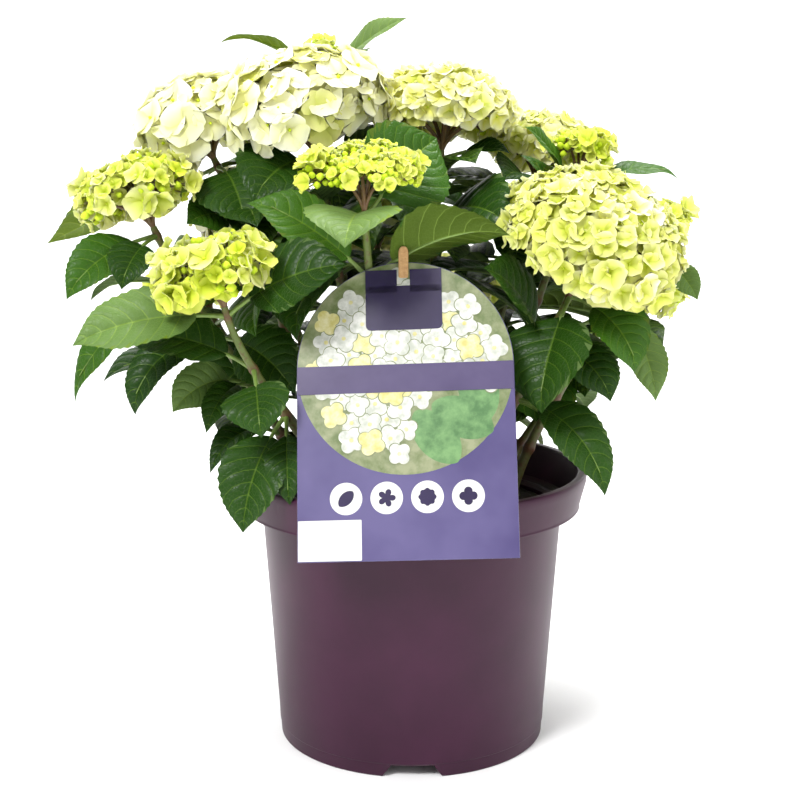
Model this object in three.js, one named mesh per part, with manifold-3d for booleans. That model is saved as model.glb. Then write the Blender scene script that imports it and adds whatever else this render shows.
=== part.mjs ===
// A mophead hydrangea in its nursery pot: pot, potting soil, a picture label hung on a bamboo peg,
// and flowering shoots that rise from the soil. Each shoot is a bare cane and, above it, a leafy
// mass with a flower head. Millimetres, +Z up; the origin is the centre of the pot's underside and
// the label faces -Y.

import * as THREE from "three";
import { mergeVertices } from "three/addons/utils/BufferGeometryUtils.js";
import Module from "manifold-3d";

const wasm = await Module();
wasm.setup();
const { Manifold } = wasm;

// ---------------------------------------------------------------- driving dimensions

const CLEAR = 0.3; // gap left between solids that touch

const POT = {
  sides: 36,
  height: 180,
  rimRadius: 115,
  lipRound: 1.5,
  rimWidth: 6,
  bandHeight: 24.5,
  bandFootRadius: 110.3,
  shoulderRadius: 98.8,
  footRadius: 88,
  footWidth: 3.5,
  wall: 2.5,
  padRadius: 55,
  gutterHeight: 8.3,
};
const NOTCH = { count: 3, topWidth: 27, bottomWidth: 38, height: 8 };
const SOIL = { top: 158, flatRadius: 80 };

const LABEL = { width: 130, length: 180, thick: 1, slotWidth: 7.4, slotLength: 10, slotAt: 170.5 };
const LABEL_POSE = { foot: [-3, -126.8, 152.9], leanBack: 21.5, turn: -5.1, roll: 2.8 };
const PEG = { width: 6, thick: 1.6, depth: 60, soilY: -66, above: 19 };
const PEG_TIP = [[4, 1], [2, 0.88], [0.6, 0.62], [0, 0.3]]; // distance below its end, share of its width

const CANE = { sides: 5, foot: 3.4, fork: 2.1, flare: 1.6, flareHeight: 7, step: 26 };
const FEET = { spread: 0.42, gap: 14 }; // feet stand at this share of the forks' reach, this far apart
const PAIR = { first: 6, spacing: 38, stub: 14 }; // leaf pairs, measured down the cane from its fork

const LEAF = { length: 108, width: 0.6, thick: 0.013, fold: 16, petiole: 18, stalk: 1.3, spread: 12 };
const LEAF_BY_PAIR = [
  { length: 0.82, rise: 16, droop: 35 },
  { length: 1.0, rise: 4, droop: 45 },
  { length: 0.98, rise: -12, droop: 55 },
  { length: 0.85, rise: -24, droop: 65 },
  { length: 0.7, rise: -34, droop: 70 },
];
// Where a leaf has no room it is turned, raised and shortened by these steps before it is given up.
const LEAF_TRIES = [
  [0, 0, 1], [8, 0, 1], [-8, 0, 1], [0, 9, 1], [0, -9, 1], [14, 7, 0.92], [-14, -7, 0.92],
  [14, -9, 0.85], [-14, 9, 0.85], [26, 0, 0.8], [-26, 0, 0.8], [0, 18, 0.8], [0, -18, 0.8],
];
const BLADE = [ // distance along the blade and half-width there, as shares
  [0.1, 0.55], [0.32, 0.98], [0.58, 0.93], [0.82, 0.48],
];

// Head kinds: largest floret radius, floret count, how far round the dome they go, core size, and
// how many rays show below it.
const HEADS = {
  white: { floret: 18, count: 15, round: 112, core: 0.8, rays: 0, colour: 0xf3f4e6 },
  cream: { floret: 15, count: 16, round: 108, core: 0.82, rays: 0, colour: 0xeef0bf },
  lime: { floret: 11, count: 12, round: 92, core: 0.8, rays: 4, colour: 0xd5df82 },
  bud: { floret: 7, count: 10, round: 72, core: 0.84, rays: 4, colour: 0xaebf4d },
};
const FLORET = { pitch: 0.58, cup: 0.13, sunk: 0.8, root: 0.16, rootLeast: 3, seat: 0.93, room: 1.9 };
const SMALL_HEAD = 25; // half-width below which a head's core has fewer faces

const shoot = (name, kind, centre, halfWidth, halfHeight, lean, tilt, pairs, turn) => (
  { name, kind, centre, halfWidth, halfHeight, lean, tilt, pairs, turn }
);
// Each shoot: head kind, head centre, its half-width and half-height, the way its axis leans and
// how far, the number of leaf pairs, and the turn of the first pair. Angles in degrees.
const SHOOTS = [
  shoot("upper_white", "white", [-69, 10, 414], 55, 38, 200, 12, 3, -121),
  shoot("left_white", "white", [-141, 34, 402], 43, 31, 170, 26, 3, -115),
  shoot("upper_cream", "cream", [22, 40, 412], 50, 25, 60, 10, 3, -20),
  shoot("right_cream", "cream", [112, -45, 331], 60, 41, -25, 25, 3, -112),
  shoot("back_cream", "cream", [91, 78, 384], 37, 23, 40, 18, 3, -111),
  shoot("left_lime", "lime", [-174, -5, 359], 38, 22, 180, 22, 5, -137),
  shoot("left_front", "lime", [-117, -80, 317], 36, 17, 215, 14, 3, -160),
  shoot("front_bud", "bud", [-30, -70, 374], 37, 12, -100, 14, 3, -99),
  shoot("right_bud", "bud", [112, 25, 382], 21, 15, 20, 15, 3, -144),
  shoot("far_right_bud", "bud", [168, 25, 337], 15, 13, 10, 30, 3, -45),
  shoot("top_bud", "bud", [-62, 85, 449], 9, 6, 90, 8, 3, 170),
  shoot("back_left", "white", [-112, 92, 345], 44, 27, 140, 24, 3, 60),
  shoot("back_mid", "white", [-25, 138, 335], 44, 28, 95, 24, 3, 20),
  shoot("back_right", "cream", [92, 135, 330], 42, 25, 55, 28, 3, 100),
  shoot("right_back", "lime", [160, 88, 290], 36, 18, 30, 34, 3, 5),
  shoot("left_back", "lime", [-152, 98, 286], 36, 18, 150, 34, 3, 115),
  shoot("low_back", "cream", [32, 178, 276], 36, 19, 82, 36, 3, 150),
];

const pose = (name, pair, side, turn, rise, span, droop, width, roll) => (
  { name, pair, side, turn, rise, span, droop, width, roll }
);
// Leaves that stand apart from the rule, by shoot, pair and side: compass turn, rise of the
// straight line from root to tip, its length, droop along the blade, width as a share of the
// length, and roll about the midrib.
const POSED = [
  pose("left_front", 0, 0, -165, -8, 93, 30, 0.5, -42),
  pose("left_front", 0, 1, -15, 24, 82, 35, 0.62, 50),
  pose("left_front", 1, 0, 178, 14, 86, 40, 0.5, -40),
  pose("left_front", 1, 1, -80, -40, 52, 50, 0.85, 20),
  pose("left_front", 2, 0, -125, -57, 79, 50, 0.56, -20),
  pose("left_front", 2, 1, -85, -50, 62, 50, 0.45, 20),
  pose("left_white", 0, 0, 164, -22, 138, -16, 0.36, 30),
  pose("left_white", 0, 1, -75, -30, 68, 60, 0.8, 20),
  pose("left_white", 1, 0, -150, 2, 66, 40, 0.6, -50),
  pose("left_white", 1, 1, -77, 3, 66, 60, 0.7, 20),
  pose("left_white", 2, 0, -92, -22, 80, 40, 0.6, 50),
  pose("left_lime", 0, 0, -140, -27, 75, 45, 0.45, -40),
  pose("left_lime", 0, 1, -112, -32, 53, 50, 0.6, -20),
  pose("left_lime", 1, 0, 165, -5, 70, 45, 0.45, 10),
  pose("left_lime", 1, 1, -166, -42, 105, 50, 0.25, -35),
  pose("left_lime", 2, 0, -140, -32, 80, 85, 0.4, -25),
  pose("left_lime", 2, 1, -55, -29, 80, 50, 0.6, 50),
  pose("left_lime", 3, 0, -142, -10, 60, 80, 0.55, -50),
  pose("left_lime", 3, 1, -115, -20, 60, 85, 0.35, -20),
  pose("left_lime", 4, 0, -130, -12, 66, 95, 0.35, -10),
  pose("upper_white", 0, 0, -121, -18, 72, 50, 0.8, -25),
  pose("upper_white", 1, 0, -109, 18, 60, 50, 0.8, 10),
  pose("front_bud", 0, 0, -99, -8, 66, 60, 0.9, 0),
  pose("front_bud", 0, 1, 40, 40, 76, 20, 0.85, 62),
  pose("front_bud", 1, 0, -163, 26, 104, 25, 0.5, -45),
  pose("front_bud", 1, 1, -13, 20, 92, 45, 0.6, -35),
  pose("upper_cream", 0, 0, -20, 8, 48, 30, 0.5, 20),
  pose("upper_cream", 0, 1, -173, 12, 46, 40, 0.6, -30),
  pose("upper_cream", 1, 0, -52, 2, 82, 40, 0.66, 40),
  pose("upper_cream", 1, 1, -100, -6, 84, 60, 0.66, -20),
  pose("back_cream", 0, 0, -111, 12, 66, 40, 0.6, -30),
  pose("right_bud", 0, 0, -142, 45, 60, 15, 0.36, -50),
  pose("right_bud", 0, 1, -6, 10, 70, 45, 0.3, 20),
  pose("right_bud", 1, 0, -160, 70, 66, 50, 0.36, -40),
  pose("right_bud", 1, 1, -12, 38, 66, 40, 0.4, 40),
  pose("right_cream", 0, 0, -119, -54, 81, 30, 0.82, 8),
  pose("right_cream", 0, 1, -38, -40, 66, 60, 0.62, 25),
  pose("right_cream", 1, 0, -132, 44, 80, 45, 0.6, -60),
  pose("right_cream", 1, 1, -42, -27, 60, 75, 0.6, 25),
  pose("right_cream", 2, 0, -41, -36, 88, 72, 0.4, 30),
  pose("right_cream", 2, 1, -20, -40, 50, 50, 0.4, 20),
  pose("right_back", 2, 1, 62, -12, 66, 45, 0.5, 0),
  pose("far_right_bud", 0, 0, -40, -38, 46, 40, 0.42, 45),
  pose("far_right_bud", 1, 0, -54, -58, 72, 30, 0.38, 25),
  pose("far_right_bud", 2, 0, -150, -30, 60, 60, 0.5, -10),
  pose("top_bud", 0, 0, 178, 25, 76, 46, 0.3, 12),
  pose("top_bud", 0, 1, -28, 33, 78, 15, 0.34, 45),
  pose("top_bud", 1, 0, -150, 72, 66, 12, 0.36, -30),
];

const COLOURS = {
  pot: [0x3b2233, 0.42], soil: [0x2b2019, 0.95], label: [0x5b4f8c, 0.3], peg: [0xb8935f, 0.7],
  cane: [0x56652f, 0.7],
};

// ---------------------------------------------------------------- solids

const rad = THREE.MathUtils.degToRad;
const v3 = (x, y, z) => new THREE.Vector3(x, y, z);

// Repeatable random numbers in 0..1: each is the one before times 16807, modulo 2^31 - 1.
function randomFrom(seed) {
  let state = seed;
  return () => {
    state = (state * 16807) % 2147483647;
    return state / 2147483647;
  };
}

// A manifold solid from any closed three.js geometry, turned inside out if it faces inwards.
function solidOf(geometry, matrix = new THREE.Matrix4()) {
  const bare = new THREE.BufferGeometry();
  bare.setAttribute("position", geometry.getAttribute("position").clone());
  if (geometry.index) bare.setIndex(geometry.index.clone());
  bare.applyMatrix4(matrix);
  const merged = mergeVertices(bare, 1e-4);
  const position = merged.getAttribute("position");
  const corners = [];
  for (let i = 0; i < merged.index.count; i += 3) {
    const tri = [0, 1, 2].map((j) => merged.index.getX(i + j));
    if (new Set(tri).size === 3) corners.push(...tri);
  }
  const at = (i) => v3().fromBufferAttribute(position, i);
  let volume = 0;
  for (let i = 0; i < corners.length; i += 3) {
    volume += at(corners[i]).dot(at(corners[i + 1]).cross(at(corners[i + 2])));
  }
  if (volume < 0) corners.reverse();
  return new Manifold(new wasm.Mesh({
    numProp: 3,
    vertProperties: new Float32Array(position.array),
    triVerts: new Uint32Array(corners),
  }));
}

// The largest connected shell of a solid: shells it closes round and loose scraps are dropped.
function mainShell(solid) {
  const { vertProperties, triVerts } = solid.getMesh();
  const parent = Array.from({ length: vertProperties.length / 3 }, (_, i) => i);
  const root = (i) => {
    while (parent[i] !== i) {
      parent[i] = parent[parent[i]];
      i = parent[i];
    }
    return i;
  };
  for (let i = 0; i < triVerts.length; i += 3) {
    parent[root(triVerts[i])] = root(triVerts[i + 1]);
    parent[root(triVerts[i + 1])] = root(triVerts[i + 2]);
  }
  const at = (i) => v3().fromArray(vertProperties, 3 * i);
  const volumes = new Map();
  for (let i = 0; i < triVerts.length; i += 3) {
    const share = at(triVerts[i]).dot(at(triVerts[i + 1]).cross(at(triVerts[i + 2])));
    const key = root(triVerts[i]);
    volumes.set(key, (volumes.get(key) ?? 0) + share);
  }
  const [largest] = [...volumes].reduce((best, next) => (next[1] > best[1] ? next : best));
  const kept = [];
  for (let i = 0; i < triVerts.length; i += 3) {
    if (root(triVerts[i]) === largest) kept.push(...triVerts.slice(i, i + 3));
  }
  const geometry = new THREE.BufferGeometry();
  geometry.setAttribute("position", new THREE.BufferAttribute(new Float32Array(vertProperties), 3));
  geometry.setIndex(kept);
  return geometry;
}

// A closed body over rings of equal point counts. It ends in flat caps, or in a point where one
// is given.
function loft(rings, tip = null) {
  const sides = rings[0].length;
  const points = rings.flat();
  const faces = [];
  for (let r = 0; r + 1 < rings.length; r += 1) {
    for (let i = 0; i < sides; i += 1) {
      const a = r * sides + i;
      const b = r * sides + ((i + 1) % sides);
      faces.push(a, b, a + sides, b, b + sides, a + sides);
    }
  }
  for (let i = 1; i + 1 < sides; i += 1) faces.push(0, i + 1, i);
  const last = (rings.length - 1) * sides;
  if (tip) {
    points.push(tip);
    for (let i = 0; i < sides; i += 1) {
      faces.push(last + i, last + ((i + 1) % sides), points.length - 1);
    }
  } else {
    for (let i = 1; i + 1 < sides; i += 1) faces.push(last, last + i, last + i + 1);
  }
  const geometry = new THREE.BufferGeometry();
  const position = new Float32Array(points.flatMap((p) => p.toArray()));
  geometry.setAttribute("position", new THREE.BufferAttribute(position, 3));
  geometry.setIndex(faces);
  return geometry;
}

// A ring of points round a centre, in the plane across a direction.
function ringAround(centre, direction, radius, sides) {
  const u = v3(1, 0, 0).addScaledVector(direction, -direction.x).normalize();
  const w = direction.clone().cross(u);
  return Array.from({ length: sides }, (_, i) => {
    const angle = (2 * Math.PI * i) / sides;
    return centre.clone()
      .addScaledVector(u, radius * Math.cos(angle))
      .addScaledVector(w, radius * Math.sin(angle));
  });
}

// ---------------------------------------------------------------- pot and soil

// Half-section of the pot from the middle of its underside, out, up, over the rim and back inside.
function potProfile() {
  const bandFoot = POT.height - POT.bandHeight;
  const rimInner = POT.rimRadius - POT.rimWidth;
  const floorTop = POT.gutterHeight + POT.wall;
  const gutterOuter = POT.footRadius - POT.footWidth;
  return [
    [0, 0], [POT.padRadius, 0], [POT.padRadius + 4, POT.gutterHeight],
    [gutterOuter - 2, POT.gutterHeight], [gutterOuter, 0], [POT.footRadius, 0],
    [POT.shoulderRadius, bandFoot], [POT.bandFootRadius, bandFoot],
    [POT.rimRadius, POT.height - 2 * POT.lipRound],
    [POT.rimRadius - POT.lipRound, POT.height], [rimInner + POT.lipRound, POT.height],
    [rimInner, POT.height - POT.lipRound], [POT.bandFootRadius - POT.rimWidth, bandFoot + POT.wall],
    [POT.shoulderRadius - POT.wall, bandFoot - POT.wall], [POT.footRadius - POT.wall, floorTop],
    [0, floorTop],
  ];
}

function lathe(profile) {
  return new THREE.LatheGeometry(profile.map(([r, z]) => new THREE.Vector2(r, z)), POT.sides);
}

const UPRIGHT = new THREE.Matrix4().makeRotationX(Math.PI / 2);

// A wedge of a drain notch, tapering upwards, that cuts the foot and the gutter's outer wall.
function notchCutter(index) {
  const outline = new THREE.Shape([
    new THREE.Vector2(-NOTCH.bottomWidth / 2, -1),
    new THREE.Vector2(NOTCH.bottomWidth / 2, -1),
    new THREE.Vector2(NOTCH.topWidth / 2, NOTCH.height),
    new THREE.Vector2(-NOTCH.topWidth / 2, NOTCH.height),
  ]);
  const depth = 4 * POT.footWidth;
  const wedge = new THREE.ExtrudeGeometry(outline, { depth, bevelEnabled: false });
  const turn = new THREE.Matrix4().makeRotationZ((2 * Math.PI * index) / NOTCH.count);
  const place = new THREE.Matrix4().makeTranslation(0, -POT.footRadius + 2.5 * POT.footWidth, 0);
  return solidOf(wedge, turn.multiply(place).multiply(UPRIGHT));
}

function makePot() {
  const cutters = Array.from({ length: NOTCH.count }, (_, i) => notchCutter(i));
  return cutters.reduce((pot, cutter) => pot.subtract(cutter), solidOf(lathe(potProfile()), UPRIGHT));
}

// The filling: down the pot's inner wall, with a level top that falls away at its edge, and a
// socket for the peg.
function makeSoil() {
  const floorTop = POT.gutterHeight + POT.wall + CLEAR;
  const wallTop = POT.height - POT.bandHeight - POT.wall - 1;
  const inner = (z) => {
    const share = (z - POT.gutterHeight) / (POT.height - POT.bandHeight - POT.gutterHeight);
    const radius = POT.footRadius + (POT.shoulderRadius - POT.footRadius) * share;
    return radius - POT.wall - 3 * CLEAR;
  };
  const body = lathe([
    [0, floorTop], [inner(floorTop) - 1, floorTop], [inner(wallTop) - 1, wallTop],
    [SOIL.flatRadius, SOIL.top], [0, SOIL.top],
  ]);
  return solidOf(body, UPRIGHT).subtract(makePeg(CLEAR));
}

// ---------------------------------------------------------------- label and peg

// From the card's own plane to its place against the rim.
function labelMatrix() {
  const turn = new THREE.Matrix4().makeRotationZ(rad(LABEL_POSE.turn));
  const lean = new THREE.Matrix4().makeRotationX(rad(90 - LABEL_POSE.leanBack));
  const roll = new THREE.Matrix4().makeRotationZ(rad(LABEL_POSE.roll));
  const place = new THREE.Matrix4().makeTranslation(...LABEL_POSE.foot);
  return place.multiply(turn).multiply(lean).multiply(roll);
}

// The card: square at the foot, round at the head, with a slot near its top. It lies in its own
// X-Y plane with the middle of its lower edge at the origin and its face towards +Z.
function labelGeometry() {
  const half = LABEL.width / 2;
  const outline = new THREE.Shape();
  outline.moveTo(-half, 0);
  outline.lineTo(half, 0);
  outline.lineTo(half, LABEL.length - half);
  outline.absarc(0, LABEL.length - half, half, 0, Math.PI, false);
  const slot = new THREE.Path();
  const slotTop = LABEL.slotAt + LABEL.slotLength / 2;
  slot.moveTo(-LABEL.slotWidth / 2, slotTop);
  slot.lineTo(-LABEL.slotWidth / 2, slotTop - LABEL.slotLength);
  slot.lineTo(LABEL.slotWidth / 2, slotTop - LABEL.slotLength);
  slot.lineTo(LABEL.slotWidth / 2, slotTop);
  outline.holes.push(slot);
  const card = { depth: LABEL.thick, bevelEnabled: false, curveSegments: 20 };
  return new THREE.ExtrudeGeometry(outline, card).translate(0, 0, -LABEL.thick);
}

// A flat bamboo strip from below the soil, through the slot, to a rounded tip above it.
function makePeg(grow = 0) {
  const card = labelMatrix();
  const slot = v3(0, LABEL.slotAt, -LABEL.thick / 2).applyMatrix4(card);
  const ground = v3(slot.x, PEG.soilY, SOIL.top);
  const along = slot.clone().sub(ground).normalize();
  const across = v3(1, 0, 0).transformDirection(card);
  across.addScaledVector(along, -across.dot(along)).normalize();
  const back = along.clone().cross(across);
  const top = slot.clone().addScaledVector(along, PEG.above);
  const section = (centre, share) => [[1, 1], [-1, 1], [-1, -1], [1, -1]].map(([x, y]) => centre.clone()
    .addScaledVector(across, x * (PEG.width * share * 0.5 + grow))
    .addScaledVector(back, y * (PEG.thick * 0.5 + grow)));
  const foot = ground.clone().addScaledVector(along, -PEG.depth - grow);
  const tip = PEG_TIP.map(([below, share]) => section(top.clone().addScaledVector(along, -below), share));
  return solidOf(loft([section(foot, 1), ...tip]));
}

// ---------------------------------------------------------------- canes

function headAxis({ lean, tilt }) {
  return v3(
    Math.cos(rad(lean)) * Math.sin(rad(tilt)),
    Math.sin(rad(lean)) * Math.sin(rad(tilt)),
    Math.cos(rad(tilt)),
  );
}

// The fork is where a head's rays leave the cane, below the head's middle on its axis.
function forkOf(row) {
  return v3(...row.centre).addScaledVector(headAxis(row), -(0.35 * row.halfWidth + 10));
}

// Feet start at a share of their forks' reach, and are pushed apart until none is too near.
function caneFeet() {
  const feet = SHOOTS.map((row) => {
    const fork = forkOf(row);
    return new THREE.Vector2(fork.x, fork.y).multiplyScalar(FEET.spread);
  });
  for (let round = 0; round < 200; round += 1) {
    for (let i = 0; i < feet.length; i += 1) {
      for (let j = i + 1; j < feet.length; j += 1) {
        const apart = feet[j].clone().sub(feet[i]);
        const short = FEET.gap - apart.length();
        if (short > 0) {
          apart.setLength(short / 2);
          feet[i].sub(apart);
          feet[j].add(apart);
        }
      }
    }
  }
  return feet;
}

const FOOT_POINTS = caneFeet();

// One curve from foot to fork: upright at the foot, and along the head's axis at the fork.
function caneCurve(row, index) {
  const fork = forkOf(row);
  const foot = v3(FOOT_POINTS[index].x, FOOT_POINTS[index].y, SOIL.top + CLEAR);
  const reach = fork.distanceTo(foot);
  const rising = foot.clone().add(v3(
    (fork.x - foot.x) * 0.15,
    (fork.y - foot.y) * 0.15,
    0.3 * reach,
  ));
  const arriving = fork.clone().addScaledVector(headAxis(row), -0.3 * reach);
  return new THREE.CubicBezierCurve3(foot, rising, arriving, fork);
}

const caneRadius = (share) => CANE.foot + (CANE.fork - CANE.foot) * share;

// A tapering length of cane between two shares of the curve. From the ground it starts
// in a level cut, a little flared. It can end in a point, which a head's core closes over.
function caneLength(curve, from, to, top = null) {
  const length = curve.getLength();
  const steps = Math.max(2, Math.round(((to - from) * length) / CANE.step));
  const rings = [];
  if (from === 0) {
    rings.push(ringAround(curve.getPointAt(0), v3(0, 0, 1), CANE.foot * CANE.flare, CANE.sides));
  }
  const start = from === 0 ? CANE.flareHeight / length : from;
  for (let i = 0; i <= steps; i += 1) {
    const share = start + ((to - start) * i) / steps;
    const along = curve.getTangentAt(share);
    rings.push(ringAround(curve.getPointAt(share), along, caneRadius(share), CANE.sides));
  }
  return solidOf(loft(rings, top));
}

// ---------------------------------------------------------------- leaves

// A leaf's midrib is a circular arc in one upright plane. It starts rise + droop / 2 above level
// and ends rise - droop / 2 above it, so that its chord has the stated rise and span.
function leafArc(root, leaf) {
  const bend = Math.max(rad(leaf.droop), 0.02);
  const length = (leaf.span * bend) / 2 / Math.sin(bend / 2);
  const first = rad(leaf.rise) + bend / 2;
  const out = v3(Math.cos(rad(leaf.turn)), Math.sin(rad(leaf.turn)), 0);
  const level = v3(-out.y, out.x, 0);
  return (share) => {
    const slope = first - bend * share;
    const along = ((Math.sin(first) - Math.sin(slope)) / bend) * length;
    const height = ((Math.cos(slope) - Math.cos(first)) / bend) * length;
    const forward = out.clone().multiplyScalar(Math.cos(slope)).add(v3(0, 0, Math.sin(slope)));
    const above = forward.clone().cross(level);
    const roll = rad(leaf.roll);
    return {
      length,
      point: root.clone().addScaledVector(out, along).add(v3(0, 0, height)),
      side: level.clone().multiplyScalar(Math.cos(roll)).addScaledVector(above, Math.sin(roll)),
      up: above.clone().multiplyScalar(Math.cos(roll)).addScaledVector(level, -Math.sin(roll)),
    };
  };
}

// One leaf: a thin stalk and a blade of four-sided sections whose halves fold up from the midrib.
// The blade is also given alone.
function leafSolids(root, leaf) {
  const arc = leafArc(root, leaf);
  const stalkShare = LEAF.petiole / arc(0).length;
  const section = (share, halfWidth, halfThick, fold) => {
    const { point, side, up } = arc(share);
    const edge = (sign) => point.clone()
      .addScaledVector(side, sign * halfWidth * Math.cos(fold))
      .addScaledVector(up, halfWidth * Math.sin(fold));
    return [
      edge(1), point.clone().addScaledVector(up, halfThick),
      edge(-1), point.clone().addScaledVector(up, -halfThick),
    ];
  };
  const thick = (leaf.span * LEAF.thick) / 2;
  const blades = BLADE.map(([at, width]) => section(
    stalkShare + (1 - stalkShare) * at,
    (leaf.span * leaf.width * width) / 2,
    thick + (LEAF.stalk - thick) * (1 - at) * 0.6,
    rad(LEAF.fold),
  ));
  const stalk = [0, stalkShare].map((share) => section(share, LEAF.stalk, LEAF.stalk, 0));
  const tip = arc(1).point;
  return { leaf: solidOf(loft([...stalk, ...blades], tip)), blade: solidOf(loft(blades, tip)) };
}

// The leaf of a pair by rule: pairs cross at right angles, and lower ones are longer and hang more.
function leafByRule(row, pair, side, random) {
  const rule = LEAF_BY_PAIR[pair];
  const wander = (size) => (2 * random() - 1) * size;
  return {
    turn: row.turn + 90 * pair + 180 * side + wander(LEAF.spread),
    rise: rule.rise + wander(LEAF.spread),
    span: LEAF.length * rule.length * (1 + wander(0.1)),
    droop: rule.droop,
    width: LEAF.width,
    roll: wander(2 * LEAF.spread),
  };
}

// ---------------------------------------------------------------- flower heads

// Points spread evenly over a head's dome, from its top down to the given angle, each with the
// dome's own outward normal there.
function domePoints(row, count, round, scale) {
  const axis = headAxis(row);
  const turn = new THREE.Quaternion().setFromUnitVectors(v3(0, 0, 1), axis);
  const golden = Math.PI * (3 - Math.sqrt(5));
  return Array.from({ length: count }, (_, i) => {
    const height = 1 - ((i + 0.5) / count) * (1 - Math.cos(rad(round)));
    const reach = Math.sqrt(1 - height * height);
    const x = reach * Math.cos(i * golden);
    const y = reach * Math.sin(i * golden);
    const { halfWidth, halfHeight } = row;
    const at = v3(x * halfWidth, y * halfWidth, height * halfHeight).multiplyScalar(scale);
    const normal = v3(x / halfWidth, y / halfWidth, height / halfHeight).normalize();
    return {
      point: at.applyQuaternion(turn).add(v3(...row.centre)),
      normal: normal.applyQuaternion(turn),
    };
  });
}

// A floret: a cupped square of four sepals, narrowed behind to a root that is sunk in the core.
function floretSolid({ point, normal }, radius, depth, twist) {
  const turn = new THREE.Quaternion().setFromUnitVectors(v3(0, 0, 1), normal);
  const place = (x, y, z) => v3(x, y, z).applyQuaternion(turn).add(point);
  const rim = Array.from({ length: 4 }, (_, i) => {
    const angle = twist + (Math.PI * i) / 2;
    return place(radius * Math.cos(angle), radius * Math.sin(angle), FLORET.cup * radius);
  });
  const points = [...rim, place(0, 0, -FLORET.sunk), place(0, 0, -depth)];
  const faces = [];
  for (let i = 0; i < 4; i += 1) {
    faces.push(i, (i + 1) % 4, 4);
    faces.push((i + 1) % 4, i, 5);
  }
  const geometry = new THREE.BufferGeometry();
  const position = new Float32Array(points.flatMap((p) => p.toArray()));
  geometry.setAttribute("position", new THREE.BufferAttribute(position, 3));
  geometry.setIndex(faces);
  return solidOf(geometry);
}

function budSolid({ point, normal }, radius) {
  const turn = new THREE.Quaternion().setFromUnitVectors(v3(0, 0, 1), normal);
  const place = new THREE.Matrix4().compose(point, turn, v3(1, 1, 1.2));
  return solidOf(new THREE.OctahedronGeometry(radius), place);
}

function coreSolid(row, size) {
  const turn = new THREE.Quaternion().setFromUnitVectors(v3(0, 0, 1), headAxis(row));
  const girth = row.halfWidth * size;
  const scale = v3(girth, girth, row.halfHeight * size);
  const place = new THREE.Matrix4().compose(v3(...row.centre), turn, scale);
  return solidOf(new THREE.IcosahedronGeometry(1, row.halfWidth < SMALL_HEAD ? 0 : 1), place);
}

// Rays run from the fork to the core's underside.
function raySolids(row, count) {
  const fork = forkOf(row);
  const axis = headAxis(row);
  const turn = new THREE.Quaternion().setFromUnitVectors(v3(0, 0, 1), axis);
  return Array.from({ length: count }, (_, i) => {
    const angle = (2 * Math.PI * (i + 0.3)) / count;
    const reach = 0.5 * row.halfWidth;
    const end = v3(reach * Math.cos(angle), reach * Math.sin(angle), -0.1 * row.halfHeight)
      .applyQuaternion(turn).add(v3(...row.centre));
    const start = fork.clone().addScaledVector(axis, -3);
    const along = end.clone().sub(start).normalize();
    return solidOf(loft([ringAround(start, along, 1.5, 3), ringAround(end, along, 1.2, 3)]));
  });
}

// ---------------------------------------------------------------- the plant, put together

// What has been placed so far. A new leaf or floret keeps clear of every other mass and limb, and
// the blade of a leaf by rule also keeps clear of its own mass's head and other leaves.
const placed = [];

function boxesNear(a, b) {
  return [0, 1, 2].every((k) => a.min[k] < b.max[k] + CLEAR && b.min[k] < a.max[k] + CLEAR);
}

function keepsClear(solid, others) {
  const box = solid.boundingBox();
  return others.every((other) => !boxesNear(box, other.box)
    || other.solid.minGap(solid, 2 * CLEAR) >= CLEAR * 1.05);
}

const ofOthers = (owner) => placed.filter((one) => one.owner !== owner);
const ownSoftParts = (owner) => placed.filter((one) => one.owner === owner && one.soft);

function place(owner, solid, soft = false) {
  placed.push({ owner, solid, soft, box: solid.boundingBox() });
  return solid;
}

function placeHead(row, random) {
  const kind = HEADS[row.kind];
  const girth = (2 * row.halfWidth + row.halfHeight) / 3;
  const domeArea = 2 * Math.PI * girth * girth * (1 - Math.cos(rad(kind.round)));
  const count = Math.min(kind.count, Math.floor(domeArea / (FLORET.room * kind.floret ** 2)));
  const widest = Math.min(kind.floret, FLORET.pitch * Math.sqrt(domeArea / count));
  const blooms = domePoints(row, count, kind.round, FLORET.seat).map((spot) => {
    const twist = random() * Math.PI;
    const radius = widest * (0.88 + 0.2 * random());
    if (row.kind === "bud") return budSolid(spot, radius);
    return floretSolid(spot, radius, FLORET.rootLeast + FLORET.root * row.halfWidth, twist);
  });
  return blooms.filter((bloom) => keepsClear(bloom, ofOthers(row.name)))
    .map((bloom) => place(row.name, bloom, true));
}

function placeLeaf(row, curve, leaf, touchesOwn) {
  const below = (PAIR.first + PAIR.spacing * leaf.pair) / curve.getLength();
  const root = curve.getPointAt(1 - below);
  for (const [turn, rise, span] of LEAF_TRIES) {
    const tried = { ...leaf, turn: leaf.turn + turn, rise: leaf.rise + rise, span: leaf.span * span };
    const solids = leafSolids(root, tried);
    const freeOfOwn = touchesOwn || keepsClear(solids.blade, ownSoftParts(row.name));
    if (freeOfOwn && keepsClear(solids.leaf, ofOthers(row.name))) {
      return [place(row.name, solids.leaf, true)];
    }
  }
  return [];
}

const part = new THREE.Group();

function addMesh(name, geometry, [colour, roughness]) {
  const material = new THREE.MeshStandardMaterial({ color: colour, roughness, metalness: 0 });
  const mesh = new THREE.Mesh(geometry, material);
  mesh.name = name;
  part.add(mesh);
  return mesh;
}

const potSolid = place("pot", makePot());
const soilSolid = place("soil", makeSoil());
const pegSolid = place("peg", makePeg());
place("label", solidOf(labelGeometry(), labelMatrix()));

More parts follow.
